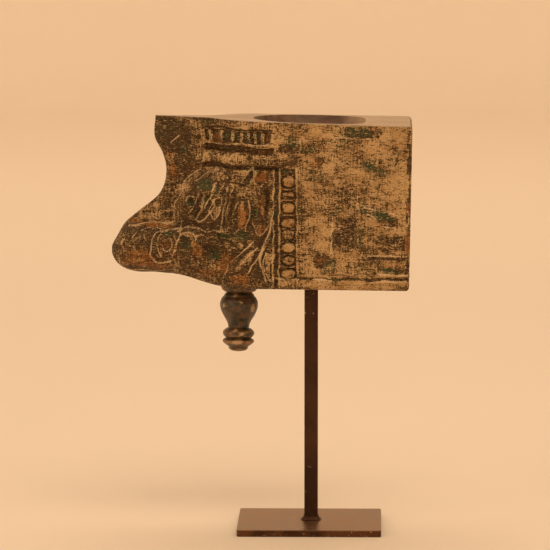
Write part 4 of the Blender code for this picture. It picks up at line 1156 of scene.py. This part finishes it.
# Turned drop: a small lathe-turned bulb and bud let into the underside below the bell, leaning a
# little. Its dark paint is rubbed brown on the rings and chipped pale at the neck, and pale patches
# on the front of its bulges are painted highlights.
# Profile as (down from the underside, radius) and its tool rings as (down, depth), in metres.
DROP = (
    (0.0000, 0.0150), (0.0012, 0.0160), (0.0036, 0.0163), (0.0062, 0.0148), (0.0080, 0.0124),
    (0.0098, 0.0131), (0.0135, 0.0157), (0.0185, 0.0171), (0.0235, 0.0163), (0.0292, 0.0137),
    (0.0343, 0.0107), (0.0388, 0.0098), (0.0402, 0.0106), (0.0415, 0.0124), (0.0430, 0.0137),
    (0.0446, 0.0141), (0.0462, 0.0137), (0.0476, 0.0126), (0.0487, 0.0119), (0.0496, 0.0126),
    (0.0507, 0.0138), (0.0519, 0.0141), (0.0532, 0.0134), (0.0546, 0.0117), (0.0560, 0.0098),
    (0.0576, 0.0090), (0.0592, 0.0078), (0.0604, 0.0052), (0.0611, 0.0010),
)
DROP_RINGS = (
    (0.0082, 0.0010), (0.0394, 0.0009), (0.0489, 0.0007),
    (0.0572, 0.0006), (0.0115, 0.0004), (0.0012, 0.0004),
)
DROP_AROUND = 112
DROP_HEAD = (0.0148, 0.002)


def turned_points():
    """The profile turned round its axis, with tool rings cut in and the round slightly uneven."""
    down = np.linspace(0.0, DROP[-1][0], 150)
    radius = through(down, DROP)
    for place, depth in DROP_RINGS:
        radius -= depth * np.exp(-(((down - place) / 0.0007) ** 2))
    turn = np.linspace(0.0, 2.0 * math.pi, DROP_AROUND, endpoint=False)
    uneven = 1.0 - 0.004 * (1.0 + np.sin(3.0 * turn[None] + down[:, None] * 90.0))
    uneven -= 0.002 * (1.0 + np.sin(9.0 * turn[None] + down[:, None] * 400.0))
    rings = radius[:, None] * uneven
    x, y = rings * np.cos(turn), rings * np.sin(turn)
    z = np.broadcast_to(-down[:, None], x.shape)
    body = np.stack([x, y, z], axis=-1)
    wide, high = DROP_HEAD
    head = np.stack([wide * np.cos(turn), wide * np.sin(turn), np.full(DROP_AROUND, high)], axis=-1)
    return np.concatenate([head[None], body])


rings = turned_points()
count, around = rings.shape[:2]
drop_faces = grid_faces(count, around, wrap_columns=True)[:, ::-1].tolist()
drop_faces += [list(range(around)), list(range((count - 1) * around, count * around))[::-1]]


def dark_turning():
    made, tree, shader = new_material("dark_turning")
    ring_streak = noise(tree, (150.0, 150.0, 420.0), 4.0, 0.65, 6.2)
    cloud = noise(tree, (130.0, 130.0, 150.0), 4.0, 0.6, 2.9)
    speck = noise(tree, (700.0, 700.0, 700.0), 2.0, 0.7, 5.5)
    worn = attribute(tree, "crest")
    chip = attribute(tree, "chip")
    cloudy = ramp(tree, cloud, 0.38, 0.62)
    base = blend_colours(tree, cloudy, (0.014, 0.014, 0.006), (0.085, 0.046, 0.018))
    total = weighted_sum(tree, ring_streak, (worn, 0.28), (speck, 0.6))
    rubbed = ramp(tree, total, 0.93, 1.16)
    colour = blend_colours(tree, rubbed, base, (0.270, 0.150, 0.066))
    # Pale patches where the chip layer is strong: chipped paint, and painted highlights on the
    # front of the bulges.
    patch = ramp(tree, weighted_sum(tree, chip, (speck, 1.3)), 1.02, 1.38)
    colour = blend_colours(tree, patch, colour, (0.430, 0.280, 0.150))
    height = arithmetic(tree, "ADD", ring_streak, speck)
    roughness = ramp(tree, total, 0.8, 1.3, 0.34, 0.6)
    finish_surface(tree, shader, colour, roughness, height, 0.0005, 0.7)
    return made


# Chips and painted highlights as (down, the way they face in radians, half width, half height,
# strength).
DROP_CHIPS_AND_HIGHLIGHTS = (
    (0.0515, -1.60, 0.45, 0.0026, 1.0), (0.0440, -1.35, 0.26, 0.0026, 0.8),
    (0.0412, -1.80, 0.30, 0.0020, 0.7), (0.0210, -0.72, 0.22, 0.0050, 0.8),
    (0.0100, -1.85, 0.22, 0.0035, 0.7), (0.0190, -2.45, 0.26, 0.0025, 0.7),
    (0.0155, -1.45, 0.14, 0.0018, 0.7), (0.0320, -1.60, 0.30, 0.0040, 0.4),
    (0.0520, 1.20, 0.50, 0.0026, 0.9), (0.0200, 1.60, 0.30, 0.0050, 0.7),
)
drop = object_from("turned_drop_rubbed", rings, drop_faces, [dark_turning()])
drop.data.transform(DROP_PLACE)
profile_radius = np.hypot(rings[..., 0], rings[..., 1])
proud = profile_radius - soften(profile_radius, 4)
down_here = -rings[..., 2]
facing = np.arctan2(rings[..., 1], rings[..., 0])
chips_and_highlights = np.zeros(down_here.shape)
for down_at, facing_at, turn_wide, high, strength in DROP_CHIPS_AND_HIGHLIGHTS:
    near = ((down_here - down_at) / high) ** 2 + ((facing - facing_at) / turn_wide) ** 2
    chips_and_highlights = np.maximum(chips_and_highlights, strength * np.exp(-near))
store_layer(drop.data, "crest", np.clip(proud / 0.0006, 0.0, 1.0))
store_layer(drop.data, "chip", chips_and_highlights)
drop.data.set_sharp_from_angle(angle=math.radians(50.0))
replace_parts(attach(drop, "root"), "turned_drop")

# Studio: a plain pale round room whose floor curves up into its wall, one broad soft light high in
# front, a weaker one at the left, four that wash the wall, and a warm fill. No part of the object.


ROOM_FLOOR, ROOM_BEND, ROOM_HEIGHT, ROOM_AROUND = 4.4, 0.8, 3.4, 96


def pale_room():
    """A floor that curves up into a wall: floor, quarter round and wall turned about the middle."""
    bend = np.linspace(0.0, math.pi / 2.0, 16)
    wall = ROOM_FLOOR + ROOM_BEND
    radius = np.concatenate([[0.02, 1.0, 2.5], ROOM_FLOOR + ROOM_BEND * np.sin(bend), [wall]])
    z = np.concatenate([[0.0, 0.0, 0.0], ROOM_BEND * (1.0 - np.cos(bend)), [ROOM_HEIGHT]])
    turn = np.linspace(0.0, 2.0 * math.pi, ROOM_AROUND, endpoint=False)[:, None]
    x, y = radius * np.cos(turn), radius * np.sin(turn)
    points = np.stack([x, y, np.broadcast_to(z, x.shape)], axis=-1)
    made, tree, shader = new_material("pale_paint")
    cloud = noise(tree, (1.2, 1.2, 1.2), 2.0, 0.5)
    colour = blend_colours(tree, cloud, (0.82, 0.715, 0.590), (0.85, 0.745, 0.620))
    tree.links.new(colour, shader.inputs["Base Color"])
    shader.inputs["Roughness"].default_value = 0.85
    faces = grid_faces(ROOM_AROUND, len(z), wrap_rows=True)[:, ::-1].tolist()
    middle = (np.arange(ROOM_AROUND) * len(z)).tolist()
    return object_from("pale_room", points, faces + [middle], [made])


pale_room()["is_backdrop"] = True


def soft_light(name, place, target, size, power, colour):
    lamp = bpy.data.lights.new(name, "AREA")
    lamp.shape = "RECTANGLE"
    lamp.size, lamp.size_y = size
    lamp.energy = power
    lamp.color = colour
    made = bpy.data.objects.new(name, lamp)
    bpy.context.scene.collection.objects.link(made)
    made.location = place
    made.rotation_euler = (Vector(target) - Vector(place)).to_track_quat("-Z", "Y").to_euler()


soft_light("key", (0.5, -1.6, 2.6), (0.0, 0.0, 0.25), (1.8, 1.4), 26.0, (1.0, 0.76, 0.52))
soft_light("side", (-1.9, -1.6, 1.2), (0.0, 0.0, 0.25), (1.0, 1.2), 10.0, (1.0, 0.77, 0.54))
for quarter in range(4):
    aim = math.pi / 2.0 * quarter
    out = Vector((math.sin(aim), math.cos(aim), 0.0))
    place, target = out * 2.0 + Vector((0, 0, 3.2)), out * 5.2 + Vector((0, 0, 0.8))
    soft_light(f"wall_{quarter}", place, target, (3.0, 0.8), 73.0, (1.0, 0.76, 0.54))
soft_light("above", (0.0, 0.5, 1.7), (0.0, 0.0, 0.30), (1.2, 0.8), 9.0, (1.0, 0.78, 0.56))
bpy.context.scene.view_settings.view_transform = "Standard"
world = bpy.context.scene.world or bpy.data.worlds.new("room")
bpy.context.scene.world = world
world.use_nodes = True
fill = world.node_tree.nodes["Background"]
fill.inputs["Color"].default_value = (1.0, 0.77, 0.55, 1.0)
fill.inputs["Strength"].default_value = 0.24

# Camera: as far off and with as long a lens as the photograph's, a little above the bracket and
# looking slightly down, with the stand right of the middle.
CAMERA_PLACE = (0.0592, -4.1827, 0.7182)
yaw, pitch = 0.0216, 0.1170
level = math.cos(pitch)
forward = Vector((-math.sin(yaw) * level, math.cos(yaw) * level, -math.sin(pitch)))
rightward = Vector((math.cos(yaw), math.sin(yaw), 0.0))
lens = bpy.data.cameras.new("photo_view")
lens.sensor_width = 36.0
lens.lens = 309.24
lens.clip_end = 50.0
camera = bpy.data.objects.new("photo_view", lens)
bpy.context.scene.collection.objects.link(camera)
turned = Matrix((rightward, rightward.cross(forward), -forward)).transposed()
camera.matrix_world = Matrix.Translation(CAMERA_PLACE) @ turned.to_4x4()
bpy.context.scene.camera = camera

low, high = (list(corner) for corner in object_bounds())
